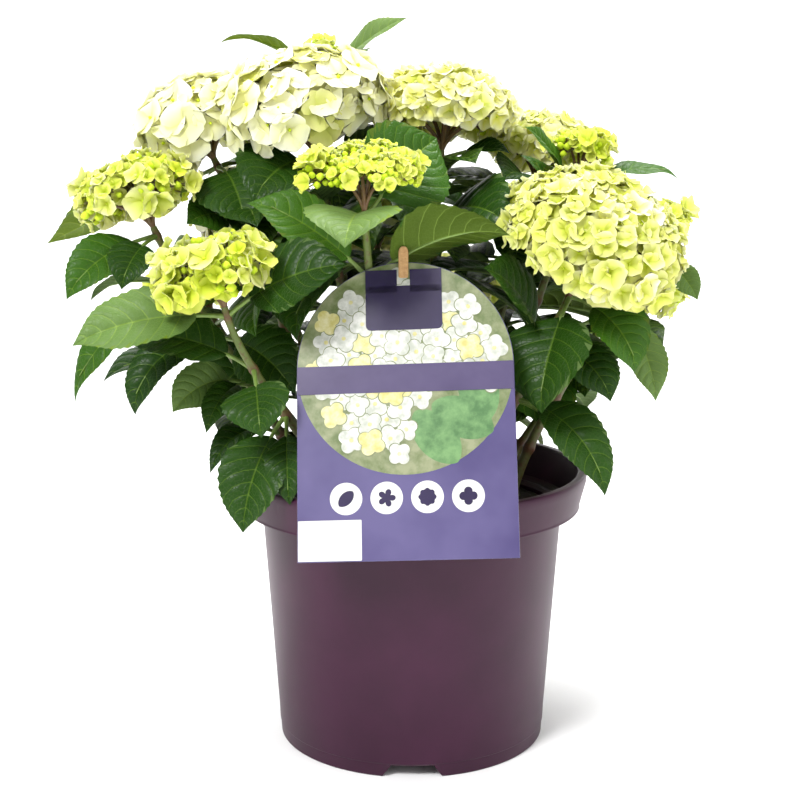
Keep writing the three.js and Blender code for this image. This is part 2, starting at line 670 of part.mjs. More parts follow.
const grown = SHOOTS.map((row, index) => {
  const curve = caneCurve(row, index);
  const lowest = PAIR.first + PAIR.spacing * (row.pairs - 1) + PAIR.stub;
  const join = 1 - lowest / curve.getLength();
  const gap = CLEAR / curve.getLength();
  return {
    row,
    curve,
    cane: place(`${row.name}_cane`, caneLength(curve, 0, join - gap)),
    parts: [
      place(row.name, caneLength(curve, join, 1, v3(...row.centre))),
      place(row.name, coreSolid(row, HEADS[row.kind].core), true),
    ],
    random: randomFrom(1000 + 77 * index),
  };
});
for (const shootGrown of grown) {
  const { row, parts, random } = shootGrown;
  parts.push(...raySolids(row, HEADS[row.kind].rays).map((ray) => place(row.name, ray)));
  parts.push(...placeHead(row, random));
}
for (const leaf of POSED) {
  const { row, curve, parts } = grown.find((one) => one.row.name === leaf.name);
  parts.push(...placeLeaf(row, curve, leaf, true));
}
for (const { row, curve, parts, random } of grown) {
  for (let pair = 0; pair < row.pairs; pair += 1) {
    for (const side of [0, 1]) {
      const byRule = { pair, ...leafByRule(row, pair, side, random) };
      const posed = POSED.some((one) => one.name === row.name && one.pair === pair && one.side === side);
      if (!posed) parts.push(...placeLeaf(row, curve, byRule, false));
    }
  }
}

addMesh("pot", mainShell(potSolid), COLOURS.pot);
addMesh("soil", mainShell(soilSolid), COLOURS.soil);
addMesh("label_peg", mainShell(pegSolid), COLOURS.peg);
const label = addMesh("label", labelGeometry(), COLOURS.label);
label.applyMatrix4(labelMatrix());
for (const { row, cane, parts } of grown) {
  addMesh(`cane_${row.name}`, mainShell(cane), COLOURS.cane);
  addMesh(`shoot_${row.name}`, mainShell(Manifold.union(parts)), [HEADS[row.kind].colour, 0.6]);
}

export default part;
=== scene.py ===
"""A potted mophead hydrangea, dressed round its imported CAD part.

Pot, potting soil, picture card, peg and canes are made again with finer surfaces. Every shoot's
leaves follow the rule of the CAD source: the same rows, the same order of random draws and the
same steps aside where a leaf has no room. Sizes are millimetres until a mesh is built.
"""

import itertools
import logging
import math
from dataclasses import dataclass, field, replace
from enum import Enum

import bpy
import numpy as np
from mathutils.bvhtree import BVHTree
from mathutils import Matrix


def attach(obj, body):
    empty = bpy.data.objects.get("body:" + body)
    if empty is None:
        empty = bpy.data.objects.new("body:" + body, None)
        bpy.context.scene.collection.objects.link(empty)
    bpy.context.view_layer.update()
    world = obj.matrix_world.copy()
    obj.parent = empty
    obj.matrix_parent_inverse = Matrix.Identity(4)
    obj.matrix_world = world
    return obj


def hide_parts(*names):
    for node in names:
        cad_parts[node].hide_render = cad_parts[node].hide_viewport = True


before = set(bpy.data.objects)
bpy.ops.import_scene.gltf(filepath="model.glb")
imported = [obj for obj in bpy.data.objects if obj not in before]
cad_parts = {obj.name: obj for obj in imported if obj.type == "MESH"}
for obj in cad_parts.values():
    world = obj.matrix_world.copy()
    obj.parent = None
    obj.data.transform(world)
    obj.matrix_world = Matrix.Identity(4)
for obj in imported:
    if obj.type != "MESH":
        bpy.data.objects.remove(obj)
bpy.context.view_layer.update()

Array = np.ndarray
Colour = tuple[float, float, float]
Random = np.random.Generator
Piece = bpy.types.Object
Material = bpy.types.Material
Tree = bpy.types.NodeTree
Node = bpy.types.Node
Socket = bpy.types.NodeSocket

log = logging.getLogger("hydrangea")

METRES = 0.001  # millimetres to metres
WELD = 0.0005  # points nearer than this, in millimetres, become one
REACH = 500  # points lie within this of the origin along each axis, in millimetres
KEY_BITS = 21  # enough for twice REACH in steps of WELD
CLEAR = 0.3  # room that leaves keep round every body, in millimetres
GOLDEN = math.pi * (3 - math.sqrt(5))  # the angle that spreads points evenly over a disc
TINY = 1e-12  # keeps a vector of no length from dividing by nothing


# --- vectors


def unit(vectors: Array) -> Array:
    """Vectors divided by their lengths, along the last axis."""
    return vectors / np.maximum(np.linalg.norm(vectors, axis=-1, keepdims=True), TINY)


def around(count: int) -> Array:
    """Equal angles round a full turn, from 0."""
    return 2 * np.pi * np.arange(count) / count


def compass(angle: Array) -> Array:
    """Cosine and sine of angles, along a new last axis."""
    return np.stack([np.cos(angle), np.sin(angle)], -1)


def curve(share: Array, start: Array, bend: Array, end: Array) -> Array:
    """Points of a quadratic curve from start to end that bends towards a third point."""
    return (1 - share) ** 2 * start + 2 * (1 - share) * share * bend + share**2 * end


def across(direction: Array) -> tuple[Array, Array]:
    """Two unit vectors square to a direction: +X less its part along it, and their cross product.

    Args:
        direction: unit vectors, shape (..., 3).

    Returns:
        The two unit vectors, each shaped like the direction.
    """
    sideways = np.zeros_like(direction)
    sideways[..., 0] = 1.0
    first = unit(sideways - direction * direction[..., :1])
    return first, np.cross(direction, first)


def turn_from_up(axis: Array) -> Array:
    """The shortest rotation that takes +Z to a unit axis, as a matrix whose rows are its images.

    Args:
        axis: unit vector, shape (3,).

    Returns:
        Matrix M so that points @ M are the turned points.
    """
    x, y, z = axis
    cross = np.array([-y, x, 0.0])
    skew = np.array([[0, -cross[2], cross[1]], [cross[2], 0, -cross[0]], [-cross[1], cross[0], 0]])
    return (np.eye(3) + skew + skew @ skew / (1 + z)).T


def ripple(*terms: tuple[Array, float, float]) -> Array:
    """A smooth irregular value: the sum of size times sine over (angle, phase, size) terms."""
    return sum(size * np.sin(angle + phase) for angle, phase, size in terms)


# --- surfaces


def grid_faces(rows: int, columns: int, closed: bool = False) -> Array:
    """Quads of a grid of points stored row by row.

    Args:
        rows: number of rows of points.
        columns: number of points in a row.
        closed: whether each row's last point joins its first.

    Returns:
        Corner numbers, shape (quads, 4).
    """
    row = np.arange(rows - 1)[:, None] * columns
    column = np.arange(columns if closed else columns - 1)[None, :]
    after = (column + 1) % columns
    quads = [row + column, row + after, row + columns + after, row + columns + column]
    return np.stack(quads, -1).reshape(-1, 4)


def repeated(faces: Array, copies: int, points_each: int) -> Array:
    """One body's faces, numbered again for each of several like bodies."""
    return (faces[None] + points_each * np.arange(copies)[:, None, None]).reshape(-1, 4)


@dataclass
class Surface:
    """One piece while it is gathered: its points, its quads and what each point carries."""

    carries: tuple[str, ...] = ()
    mapped: bool = False
    points: list[Array] = field(default_factory=list)
    faces: list[Array] = field(default_factory=list)
    finishes: list[Array] = field(default_factory=list)
    places: list[Array] = field(default_factory=list)
    values: dict[str, list[Array]] = field(default_factory=dict)
    size: int = 0

    def add(self, points: Array, faces: Array, finish: int = 0, place: Array | None = None,
            **values: float | Array) -> None:
        """Adds a body.

        Args:
            points: any shape that ends in 3, in millimetres.
            faces: corner numbers into those points, shape (n, 4).
            finish: number of its finish.
            place: flat pattern coordinates, shaped like the points but ending in 2.
            values: one number or one for each point, for each name the surface carries.
        """
        flat = points.reshape(-1, 3)
        self.points.append(flat)
        self.faces.append(faces + self.size)
        self.finishes.append(np.full(len(faces), finish))
        for name in self.carries:
            value = np.broadcast_to(values.get(name, 0.0), points.shape[:-1]).reshape(-1)
            self.values.setdefault(name, []).append(value)
        if self.mapped:
            self.places.append((np.zeros((len(flat), 2)) if place is None else place).reshape(-1, 2))
        self.size += len(flat)

    def build(self, name: str, materials: list[Material], crease: float = 48) -> Piece:
        """Makes the piece: near points become one, and quads that lose a corner become triangles.

        Args:
            name: the piece's name.
            materials: its finishes, in the order of their numbers.
            crease: edges sharper than this many degrees stay sharp.

        Returns:
            The object, at the origin, in metres.
        """
        points, quads = np.concatenate(self.points), np.concatenate(self.faces)
        finishes = np.concatenate(self.finishes)
        if np.abs(points).max() > REACH:
            raise ValueError("a point lies outside the weld's range")
        keys = np.round((points + REACH) / WELD).astype(np.int64)
        keys = (keys[:, 0] << 2 * KEY_BITS) + (keys[:, 1] << KEY_BITS) + keys[:, 2]
        _, first, merged = np.unique(keys, return_index=True, return_inverse=True)
        quads = merged.reshape(-1)[quads]
        same = quads == np.roll(quads, -1, axis=1)
        folded = (quads[:, 0] == quads[:, 2]) | (quads[:, 1] == quads[:, 3])
        whole, three = (same.sum(1) == 0) & ~folded, (same.sum(1) == 1)
        triangles = quads[three][~same[three]].reshape(-1, 3)
        corners = np.concatenate([quads[whole].ravel(), triangles.ravel()])
        four = int(whole.sum())
        starts = np.concatenate([np.arange(four) * 4, four * 4 + np.arange(len(triangles)) * 3])
        mesh = bpy.data.meshes.new(name)
        mesh.vertices.add(len(first))
        mesh.vertices.foreach_set("co", (points[first] * METRES).astype(np.float32).ravel())
        mesh.loops.add(len(corners))
        mesh.loops.foreach_set("vertex_index", corners.astype(np.int32))
        mesh.polygons.add(len(starts))
        mesh.polygons.foreach_set("loop_start", starts.astype(np.int32))
        finish = np.concatenate([finishes[whole], finishes[three]])
        mesh.polygons.foreach_set("material_index", finish.astype(np.int32))
        mesh.polygons.foreach_set("use_smooth", np.ones(len(starts), bool))
        for carried, parts in self.values.items():
            attribute = mesh.attributes.new(carried, "FLOAT", "POINT")
            attribute.data.foreach_set("value", np.concatenate(parts)[first].astype(np.float32))
        if self.mapped:
            spots = np.concatenate(self.places)[first][corners]
            mesh.uv_layers.new(name="flat").data.foreach_set("uv", spots.astype(np.float32).ravel())
        mesh.update(calc_edges=True)
        mesh.validate()
        mesh.set_sharp_from_angle(angle=math.radians(crease))
        for material in materials:
            mesh.materials.append(material)
        log.info("%s: %d triangles", name, 2 * four + len(triangles))
        return staged(name, mesh)


def tubes(paths: Array, radii: Array, sides: int) -> tuple[Array, Array]:
    """Closed tubes: rings of points square to each path, with a point at both ends.

    Args:
        paths: points along each path, shape (tubes, steps, 3).
        radii: radius at each step, shape (tubes, steps), or with a last axis for each side.
        sides: points in a ring.

    Returns:
        Points of shape (tubes, steps + 2, sides, 3), and their faces.
    """
    along = unit(np.gradient(paths, axis=1))
    first, second = across(along)
    if radii.ndim == 2:
        radii = radii[..., None]
    cosine, sine = compass(around(sides)).T[..., None]
    ring = first[:, :, None] * cosine + second[:, :, None] * sine
    rings = paths[:, :, None] + ring * radii[..., None]
    ends = [np.repeat(paths[:, k][:, None, None], sides, axis=2) for k in (0, -1)]
    points = np.concatenate([ends[0], rings, ends[1]], axis=1)
    rows = points.shape[1]
    return points, repeated(grid_faces(rows, sides, True), len(paths), rows * sides)


def staged(name: str, data: bpy.types.ID) -> Piece:
    """An object of some data, linked into the scene.

    Args:
        name: the object's name.
        data: a mesh, lamp or camera.

    Returns:
        The object.
    """
    made = bpy.data.objects.new(name, data)
    bpy.context.scene.collection.objects.link(made)
    return made


def dress(piece: Piece, slot: str, *nodes: str) -> Piece:
    """The piece rides on the root body and stands for its CAD nodes.

    Args:
        piece: the object.
        slot: its material slot; not used.
        nodes: the CAD nodes it stands for.

    Returns:
        The same object.
    """
    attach(piece, "root")
    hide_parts(*nodes)
    return piece


# --- finishes


def add_node(tree: Tree, kind: str, inputs: dict | None = None, **settings: object) -> Node:
    """Adds a node.

    Args:
        tree: where it goes.
        kind: the node's type name.
        inputs: socket name or number to a plain value, or to the socket that feeds it.
        settings: the node's own properties.

    Returns:
        The node.
    """
    made = tree.nodes.new(kind)
    for name, value in settings.items():
        setattr(made, name, value)
    for key, value in (inputs or {}).items():
        if isinstance(value, Socket):
            tree.links.new(value, made.inputs[key])
        else:
            made.inputs[key].default_value = value
    return made


def mixed(tree: Tree, share: Socket | float, low: Socket | Colour, high: Socket | Colour) -> Socket:
    """The colour between two colours at a share.

    Args:
        tree: where the node goes.
        share: 0 for low, 1 for high.
        low: one colour.
        high: the other.

    Returns:
        The mixed colour.
    """
    ends = [(*c, 1.0) if isinstance(c, tuple) else c for c in (low, high)]
    made = add_node(tree, "ShaderNodeMix", {0: share, 6: ends[0], 7: ends[1]}, data_type="RGBA")
    return made.outputs[2]


def calculated(tree: Tree, operation: str, *inputs: Socket | float) -> Socket:
    """The result of a Math node."""
    return add_node(tree, "ShaderNodeMath", dict(enumerate(inputs)), operation=operation).outputs[0]


def point_value(tree: Tree, name: str) -> Socket:
    """A number that the piece's points carry."""
    return add_node(tree, "ShaderNodeAttribute", attribute_name=name).outputs["Fac"]


class Effect(Enum):
    """Effects that several finishes share, each one shader node group."""

    MOTTLE = "mottle"
    RELIEF = "relief"
    VEIN_NET = "vein_net"


EFFECT_INPUTS = {
    Effect.MOTTLE: {"Scale": 60.0, "Low": 0.35, "High": 0.65},
    Effect.RELIEF: {"Scale": 400.0, "Strength": 0.3, "Depth": 0.0002},
    Effect.VEIN_NET: {"Scale": 30.0, "Width": 0.08},
}


def effect_group(effect: Effect) -> Tree:
    """The shader node group of an effect, made when it is first asked for.

    MOTTLE spreads two scales of noise between Low and High into a mask. RELIEF turns noise into a
    normal. VEIN_NET is 1 on the borders of small cells in the piece's flat coordinates.

    Args:
        effect: which effect.

    Returns:
        The group.
    """
    if effect.value in bpy.data.node_groups:
        return bpy.data.node_groups[effect.value]
    group = bpy.data.node_groups.new(effect.value, "ShaderNodeTree")
    for name, value in EFFECT_INPUTS[effect].items():
        made = group.interface.new_socket(name, in_out="INPUT", socket_type="NodeSocketFloat")
        made.default_value = value
    given = group.nodes.new("NodeGroupInput").outputs
    where = add_node(group, "ShaderNodeTexCoord").outputs
    if effect is Effect.VEIN_NET:
        cells = add_node(group, "ShaderNodeTexVoronoi", {"Vector": where["UV"], "Scale": given["Scale"]},
                         feature="DISTANCE_TO_EDGE", voronoi_dimensions="2D")
        last = add_node(group, "ShaderNodeMapRange", {
            "Value": cells.outputs["Distance"], "From Min": 0.0, "From Max": given["Width"],
            "To Min": 1.0, "To Max": 0.0})
    else:
        noise = add_node(group, "ShaderNodeTexNoise", {
            "Vector": where["Object"], "Scale": given["Scale"], "Detail": 4.0, "Roughness": 0.6}).outputs[0]
        if effect is Effect.MOTTLE:
            last = add_node(group, "ShaderNodeMapRange",
                            {"Value": noise, "From Min": given["Low"], "From Max": given["High"]})
        else:
            last = add_node(group, "ShaderNodeBump",
                            {"Height": noise, "Strength": given["Strength"], "Distance": given["Depth"]})
    result, kind = ("Normal", "Vector") if effect is Effect.RELIEF else ("Mask", "Float")
    group.interface.new_socket(result, in_out="OUTPUT", socket_type=f"NodeSocket{kind}")
    group.links.new(last.outputs[0], group.nodes.new("NodeGroupOutput").inputs[0])
    return group


def effect_out(tree: Tree, effect: Effect, **inputs: float) -> Socket:
    """Places an effect in a material with its own values, and gives what it puts out."""
    return add_node(tree, "ShaderNodeGroup", inputs, node_tree=effect_group(effect)).outputs[0]


def blank_material(name: str, **constants: float | tuple) -> tuple[Material, Node]:
    """A material with one Principled BSDF whose plain values are set on its own sockets.

    Args:
        name: the material's name.
        constants: socket name, with _ for a space, to its value.

    Returns:
        The material and its shader node.
    """
    material = bpy.data.materials.new(name)
    material.use_nodes = True
    shader = material.node_tree.nodes["Principled BSDF"]
    for key, value in constants.items():
        shader.inputs[key.replace("_", " ")].default_value = value
    return material, shader


def clothe(tree: Tree, shader: Node, colour: Socket, normal: Socket) -> None:
    """Feeds a material's shader its colour and its normal."""
    tree.links.new(colour, shader.inputs["Base Color"])
    tree.links.new(normal, shader.inputs["Normal"])


@dataclass(frozen=True)
class PlainFinish:
    """A surface of one colour that drifts to a second in soft patches, with a fine relief."""

    name: str
    colour: Colour
    patches: Colour
    roughness: float = 0.5
    patch_scale: float = 60.0
    relief_scale: float = 500.0
    relief: float = 0.2
    relief_depth: float = 0.0002
    coat: float = 0.0
    specular: float = 0.5

    def material(self) -> Material:
        """Builds the material.

        Returns:
            The material.
        """
        material, shader = blank_material(self.name, Roughness=self.roughness, Coat_Weight=self.coat,
                                          Coat_Roughness=0.12, Specular_IOR_Level=self.specular)
        tree = material.node_tree
        mask = effect_out(tree, Effect.MOTTLE, Scale=self.patch_scale)
        normal = effect_out(tree, Effect.RELIEF, Scale=self.relief_scale, Strength=self.relief,
                            Depth=self.relief_depth)
        clothe(tree, shader, mixed(tree, mask, self.colour, self.patches), normal)
        return material


@dataclass(frozen=True)
class BladeFinish:
    """One side of a leaf: two base tones, paler veins, and a net of finest veins pressed in."""

    name: str
    colour: Colour
    second: Colour
    vein: Colour
    roughness: float
    vein_share: float
    net_depth: float
    specular: float = 0.16
    shade: float = 0.72
    shade_share: float = 0.45
    net_share: float = 0.16
    relief: float = 0.35

    def material(self) -> Material:
        """Builds the material: tone, then soft patches, then the net, then the veins over it.

        Returns:
            The material.
        """
        material, shader = blank_material(self.name, Roughness=self.roughness,
                                          Specular_IOR_Level=self.specular)
        tree = material.node_tree
        base = mixed(tree, point_value(tree, "tone"), self.colour, self.second)
        patches = effect_out(tree, Effect.MOTTLE, Scale=45.0, Low=0.3, High=0.75)
        dark = tuple(self.shade * c for c in self.colour)
        base = mixed(tree, calculated(tree, "MULTIPLY", patches, self.shade_share), base, dark)
        net = effect_out(tree, Effect.VEIN_NET, Scale=36.0, Width=0.09)
        share = calculated(tree, "MULTIPLY", net, self.net_share * self.vein_share)
        base = mixed(tree, share, base, self.vein)
        veins = calculated(tree, "MULTIPLY", point_value(tree, "vein"), self.vein_share)
        height = calculated(tree, "SUBTRACT", 1.0, net)
        bump = add_node(tree, "ShaderNodeBump",
                        {"Height": height, "Strength": self.relief, "Distance": self.net_depth})
        clothe(tree, shader, mixed(tree, veins, base, self.vein), bump.outputs[0])
        return material


@dataclass(frozen=True)
class SepalFinish:
    """Sepals: a clear outer colour that runs to a greener heart, with a faint fine relief."""

    name: str
    outer: Colour
    second: Colour
    heart: Colour

    def material(self) -> Material:
        """Builds the material: tone between two outer colours, then the heart over it.

        Returns:
            The material.
        """
        material, shader = blank_material(
            self.name, Roughness=0.55, Specular_IOR_Level=0.12, Subsurface_Weight=0.35,
            Subsurface_Scale=0.005, Subsurface_Radius=(1.0, 1.0, 0.45))
        tree = material.node_tree
        base = mixed(tree, point_value(tree, "tone"), self.outer, self.second)
        normal = effect_out(tree, Effect.RELIEF, Scale=700.0, Strength=0.12, Depth=0.0003)
        clothe(tree, shader, mixed(tree, point_value(tree, "heart"), base, self.heart), normal)
        return material


@dataclass(frozen=True)
class StemFinish:
    """Green bark that browns with age and reddens at the nodes, with brown flecks and a fine relief."""

    name: str
    young: Colour
    old: Colour
    node: Colour
    fleck_share: float = 0.55
    node_share: float = 0.8

    def material(self) -> Material:
        """Builds the material: age, then brown flecks, then the red of the nodes.

        Returns:
            The material.
        """
        material, shader = blank_material(self.name, Roughness=0.5)
        tree = material.node_tree
        base = mixed(tree, point_value(tree, "age"), self.young, self.old)
        flecks = effect_out(tree, Effect.MOTTLE, Scale=420.0, Low=0.52, High=0.62)
        base = mixed(tree, calculated(tree, "MULTIPLY", flecks, self.fleck_share), base, self.node)
        share = calculated(tree, "MULTIPLY", point_value(tree, "joint"), self.node_share)
        normal = effect_out(tree, Effect.RELIEF, Scale=520.0, Strength=0.5, Depth=0.0004)
        clothe(tree, shader, mixed(tree, share, base, self.node), normal)
        return material


# --- pot and soil


def ringed_piece(name: str, points: Array, finish: PlainFinish, crease: float, slot: str,
                 *nodes: str) -> Piece:
    """A piece of one finish and one body, whose points are rings from one closed end to the other.

    Args:
        name: the piece's name.
        points: the rings, shape (rings, points in a ring, 3).
        finish: its finish.
        crease: edges sharper than this many degrees stay sharp.
        slot: its material slot.
        nodes: the CAD nodes it stands for.

    Returns:
        The object.
    """
    surface = Surface()
    surface.add(points, grid_faces(*points.shape[:2], True))
    return dress(surface.build(name, [finish.material()], crease), slot, *nodes)


@dataclass
class NurseryPot:
    """A round nursery pot: a tapering wall, a deep flared rim band and a foot with drain notches."""

    height: float = 180.0
    rim_radius: float = 115.0
    rim_width: float = 6.0
    lip_round: float = 1.5
    band_foot: float = 155.5
    band_foot_radius: float = 110.3
    band_edge: tuple[tuple[float, float], ...] = (
        (-0.7, 0), (0.25, 0.3), (0.45, 0.9), (0.3, 1.6), (0.25, 2.4))
    shoulder_radius: float = 98.8
    foot_radius: float = 88.0
    foot_width: float = 3.5
    wall: float = 2.5
    pad_radius: float = 55.0
    gutter_height: float = 8.3
    notches: int = 3
    notch_top: float = 27.0
    notch_bottom: float = 38.0
    notch_height: float = 8.0
    sides: int = 288

    finish: PlainFinish = PlainFinish(
        "aubergine_plastic", (0.030, 0.004, 0.019), (0.039, 0.006, 0.025), 0.42, 22.0, 900.0, 0.06, 0.0002,
        specular=0.28)

    def profile(self) -> Array:
        """Half-section of the pot as (radius, height), from the underside's middle and round it.

        Returns:
            Points, shape (n, 2).
        """
        inner, floor = self.rim_radius - self.rim_width, self.gutter_height + self.wall
        gutter = self.foot_radius - self.foot_width
        lip, band, foot = self.lip_round, self.band_foot, self.foot_radius
        corner = compass(np.linspace(0, np.pi / 2, 6)[1:-1]) * lip
        outer_lip = corner + [self.rim_radius - lip, self.height - lip]
        inner_lip = corner[:, ::-1] * [-1, 1] + [inner + lip, self.height - lip]
        return np.array([
            (0, 0), (self.pad_radius, 0), (self.pad_radius + 4, self.gutter_height),
            (gutter - 2, self.gutter_height), (gutter, 0.4), (gutter + 0.4, 0), (foot - 0.6, 0), (foot, 0.6),
            (foot + 0.12, 2.2), (foot + 0.5, 8.6), (foot + 0.9, 9.2),
            *[(foot + (self.shoulder_radius - foot) * t, band * t) for t in (0.12, 0.35, 0.6, 0.85)],
            (self.shoulder_radius - 0.1, band - 0.8), (self.shoulder_radius + 0.6, band),
            *[(self.band_foot_radius + out, band + up) for out, up in self.band_edge],
            (self.rim_radius - 0.25, self.height - 6),
            (self.rim_radius, self.height - 2 * lip), *outer_lip,
            (self.rim_radius - lip, self.height), (inner + lip, self.height), *inner_lip,
            (inner, self.height - lip), (self.band_foot_radius - self.rim_width, band + self.wall),
            (self.shoulder_radius - self.wall, band - self.wall), (foot - self.wall, floor), (0, floor),
        ], float)

    def make(self) -> Piece:
        """The profile turned about +Z; foot points rise under each notch along its slanted sides.

        Returns:
            The piece.
        """
        uniform = np.linspace(0, 2 * np.pi, self.sides, endpoint=False)
        middles = -np.pi / 2 + around(self.notches)
        edges = np.array([-self.notch_bottom, -self.notch_top, self.notch_top, self.notch_bottom])
        corners = (middles[:, None] + edges / 2 / self.foot_radius) % (2 * np.pi)
        angle = np.unique(np.concatenate([uniform, corners.ravel()]))
        away = np.abs((angle[:, None] - middles + np.pi) % (2 * np.pi) - np.pi).min(1) * self.foot_radius
        slope = (self.notch_bottom - self.notch_top) / 2
        lift = np.clip((self.notch_bottom / 2 - away) / slope, 0, 1) * self.notch_height
        radius, height = self.profile().T
        raised = np.maximum(height[:, None], np.where(radius[:, None] > self.pad_radius + 5, lift[None], 0))
        wide = np.broadcast_to(radius[:, None], raised.shape)
        points = np.stack([wide * np.cos(angle), wide * np.sin(angle), raised], -1)
        return ringed_piece("nursery_pot", points, self.finish, 30, "pot", "pot")


@dataclass
class PottingSoil:
    """The filling: an uneven dark top with loose crumbs, closed below."""

    top: float = 158.0
    sink: float = 1.4
    radius: float = 95.0
    edge_drop: float = 6.0
    floor: float = 12.0
    floor_radius: float = 84.0
    rings: int = 40
    sides: int = 120
    grain: float = 0.35
    crumbs: int = 420
    crumb_size: tuple[float, float] = (0.8, 2.6)
    crumb_spread: float = 0.68

    finish: PlainFinish = PlainFinish(
        "potting_soil", (0.012, 0.008, 0.006), (0.030, 0.021, 0.015), 0.95, 300.0, 900.0, 0.8, 0.001)

    def make(self) -> Piece:
        """A polar grid whose height is level, falls at the edge and carries ripples and grains.

        Returns:
            The piece.
        """
        random = np.random.default_rng(7)
        share = np.linspace(0, 1, self.rings)[:, None]
        angle = around(self.sides)[None]
        radius = self.radius * share * np.ones_like(angle)
        x, y = radius * np.cos(angle), radius * np.sin(angle)
        bumps = ripple((x / 7, 1.0, 0.7), (y / 5 + x / 11, 2.0, 0.7), (y / 2.3, x[1, 0], 0.35))
        grains = random.normal(0, self.grain, radius.shape) * (share > 0)
        height = self.top - self.sink + (bumps + grains) * (share > 0) - self.edge_drop * share**6
        down = np.stack([self.floor_radius * np.cos(angle), self.floor_radius * np.sin(angle),
                         np.full_like(angle, self.floor)], -1)
        middle = np.zeros_like(down) + [0, 0, self.floor]
        points = np.concatenate([middle, down, np.stack([x, y, height], -1)[::-1]])
        surface = Surface()
        surface.add(points, grid_faces(self.rings + 2, self.sides, True))
        body, faces = ball(6, 4)
        spots = random.uniform(-1, 1, (self.crumbs, 2)) * self.radius * self.crumb_spread
        size = random.uniform(*self.crumb_size, (self.crumbs, 1, 1))
        rough = body[None] * size * random.uniform(0.7, 1.25, (self.crumbs, len(body), 1))
        seat = np.concatenate([spots, np.full((self.crumbs, 1), self.top - 1.2)], 1)
        surface.add(rough + seat[:, None], repeated(faces, self.crumbs, len(body)))
        return dress(surface.build("potting_soil", [self.finish.material()], 80), "soil", "soil")


def ball(sides: int, rows: int) -> tuple[Array, Array]:
    """A unit ball: rings at equal angles from the top, with a single point at each pole.

    Args:
        sides: points round a ring.
        rows: bands from pole to pole.

    Returns:
        Points, poles first and last, and faces in which a pole stands twice.
    """
    polar = np.pi * np.arange(1, rows)[:, None] / rows
    angle = around(sides)[None]
    rings = np.stack([np.sin(polar) * np.cos(angle), np.sin(polar) * np.sin(angle),
                      np.cos(polar) * np.ones_like(angle)], -1).reshape(-1, 3)
    points = np.concatenate([[[0, 0, 1.0]], rings, [[0, 0, -1.0]]])
    k = np.arange(sides)
    after = (k + 1) % sides
    last = len(points) - 1
    top = np.stack([np.zeros_like(k), k + 1, after + 1, np.zeros_like(k)], 1)
    base = 1 + (rows - 2) * sides
    bottom = np.stack([base + k, np.full_like(k, last), np.full_like(k, last), base + after], 1)
    middle = grid_faces(rows - 1, sides, True)[:, ::-1] + 1
    return points, np.concatenate([top, middle, bottom])


# --- card and peg


def turned(angle: float, axis: int) -> Array:
    """Rotation by an angle in degrees about axis 0 (X) or 2 (Z), for column vectors.

    Args:
        angle: degrees.
        axis: 0 or 2.

    Returns:
        Matrix, shape (3, 3).
    """
    c, s = math.cos(math.radians(angle)), math.sin(math.radians(angle))
    if axis == 0:
        return np.array([[1, 0, 0], [0, c, -s], [0, s, c]])
    return np.array([[c, -s, 0], [s, c, 0], [0, 0, 1]])


def ink(name: str, colour: Colour, patches: Colour, roughness: float, patch_scale: float) -> PlainFinish:
    """A printed colour: nearly smooth, under a thin clear coat."""
    return PlainFinish(f"card_{name}", colour, patches, roughness, patch_scale, 900.0, 0.02, 0.0001, 0.3)


class Print(Enum):
    """Inks of the card, in the order of its finishes."""

    CARD = ink("purple", (0.052, 0.040, 0.130), (0.100, 0.084, 0.200), 0.26, 11.0)
    DEEP = ink("deep_purple", (0.016, 0.009, 0.044), (0.030, 0.020, 0.070), 0.26, 16.0)
    WHITE = ink("white", (0.66, 0.66, 0.62), (0.40, 0.42, 0.36), 0.3, 190.0)
    CREAM = ink("cream", (0.64, 0.61, 0.36), (0.50, 0.45, 0.14), 0.3, 190.0)
    LEAF = ink("leaf", (0.06, 0.15, 0.05), (0.15, 0.29, 0.11), 0.3, 130.0)
    GROUND = ink("ground", (0.11, 0.15, 0.05), (0.26, 0.28, 0.16), 0.3, 110.0)
    BAND = ink("band", (0.055, 0.040, 0.105), (0.080, 0.062, 0.140), 0.26, 20.0)
    PLAIN = ink("plain", (0.66, 0.66, 0.64), (0.62, 0.62, 0.59), 0.3, 40.0)


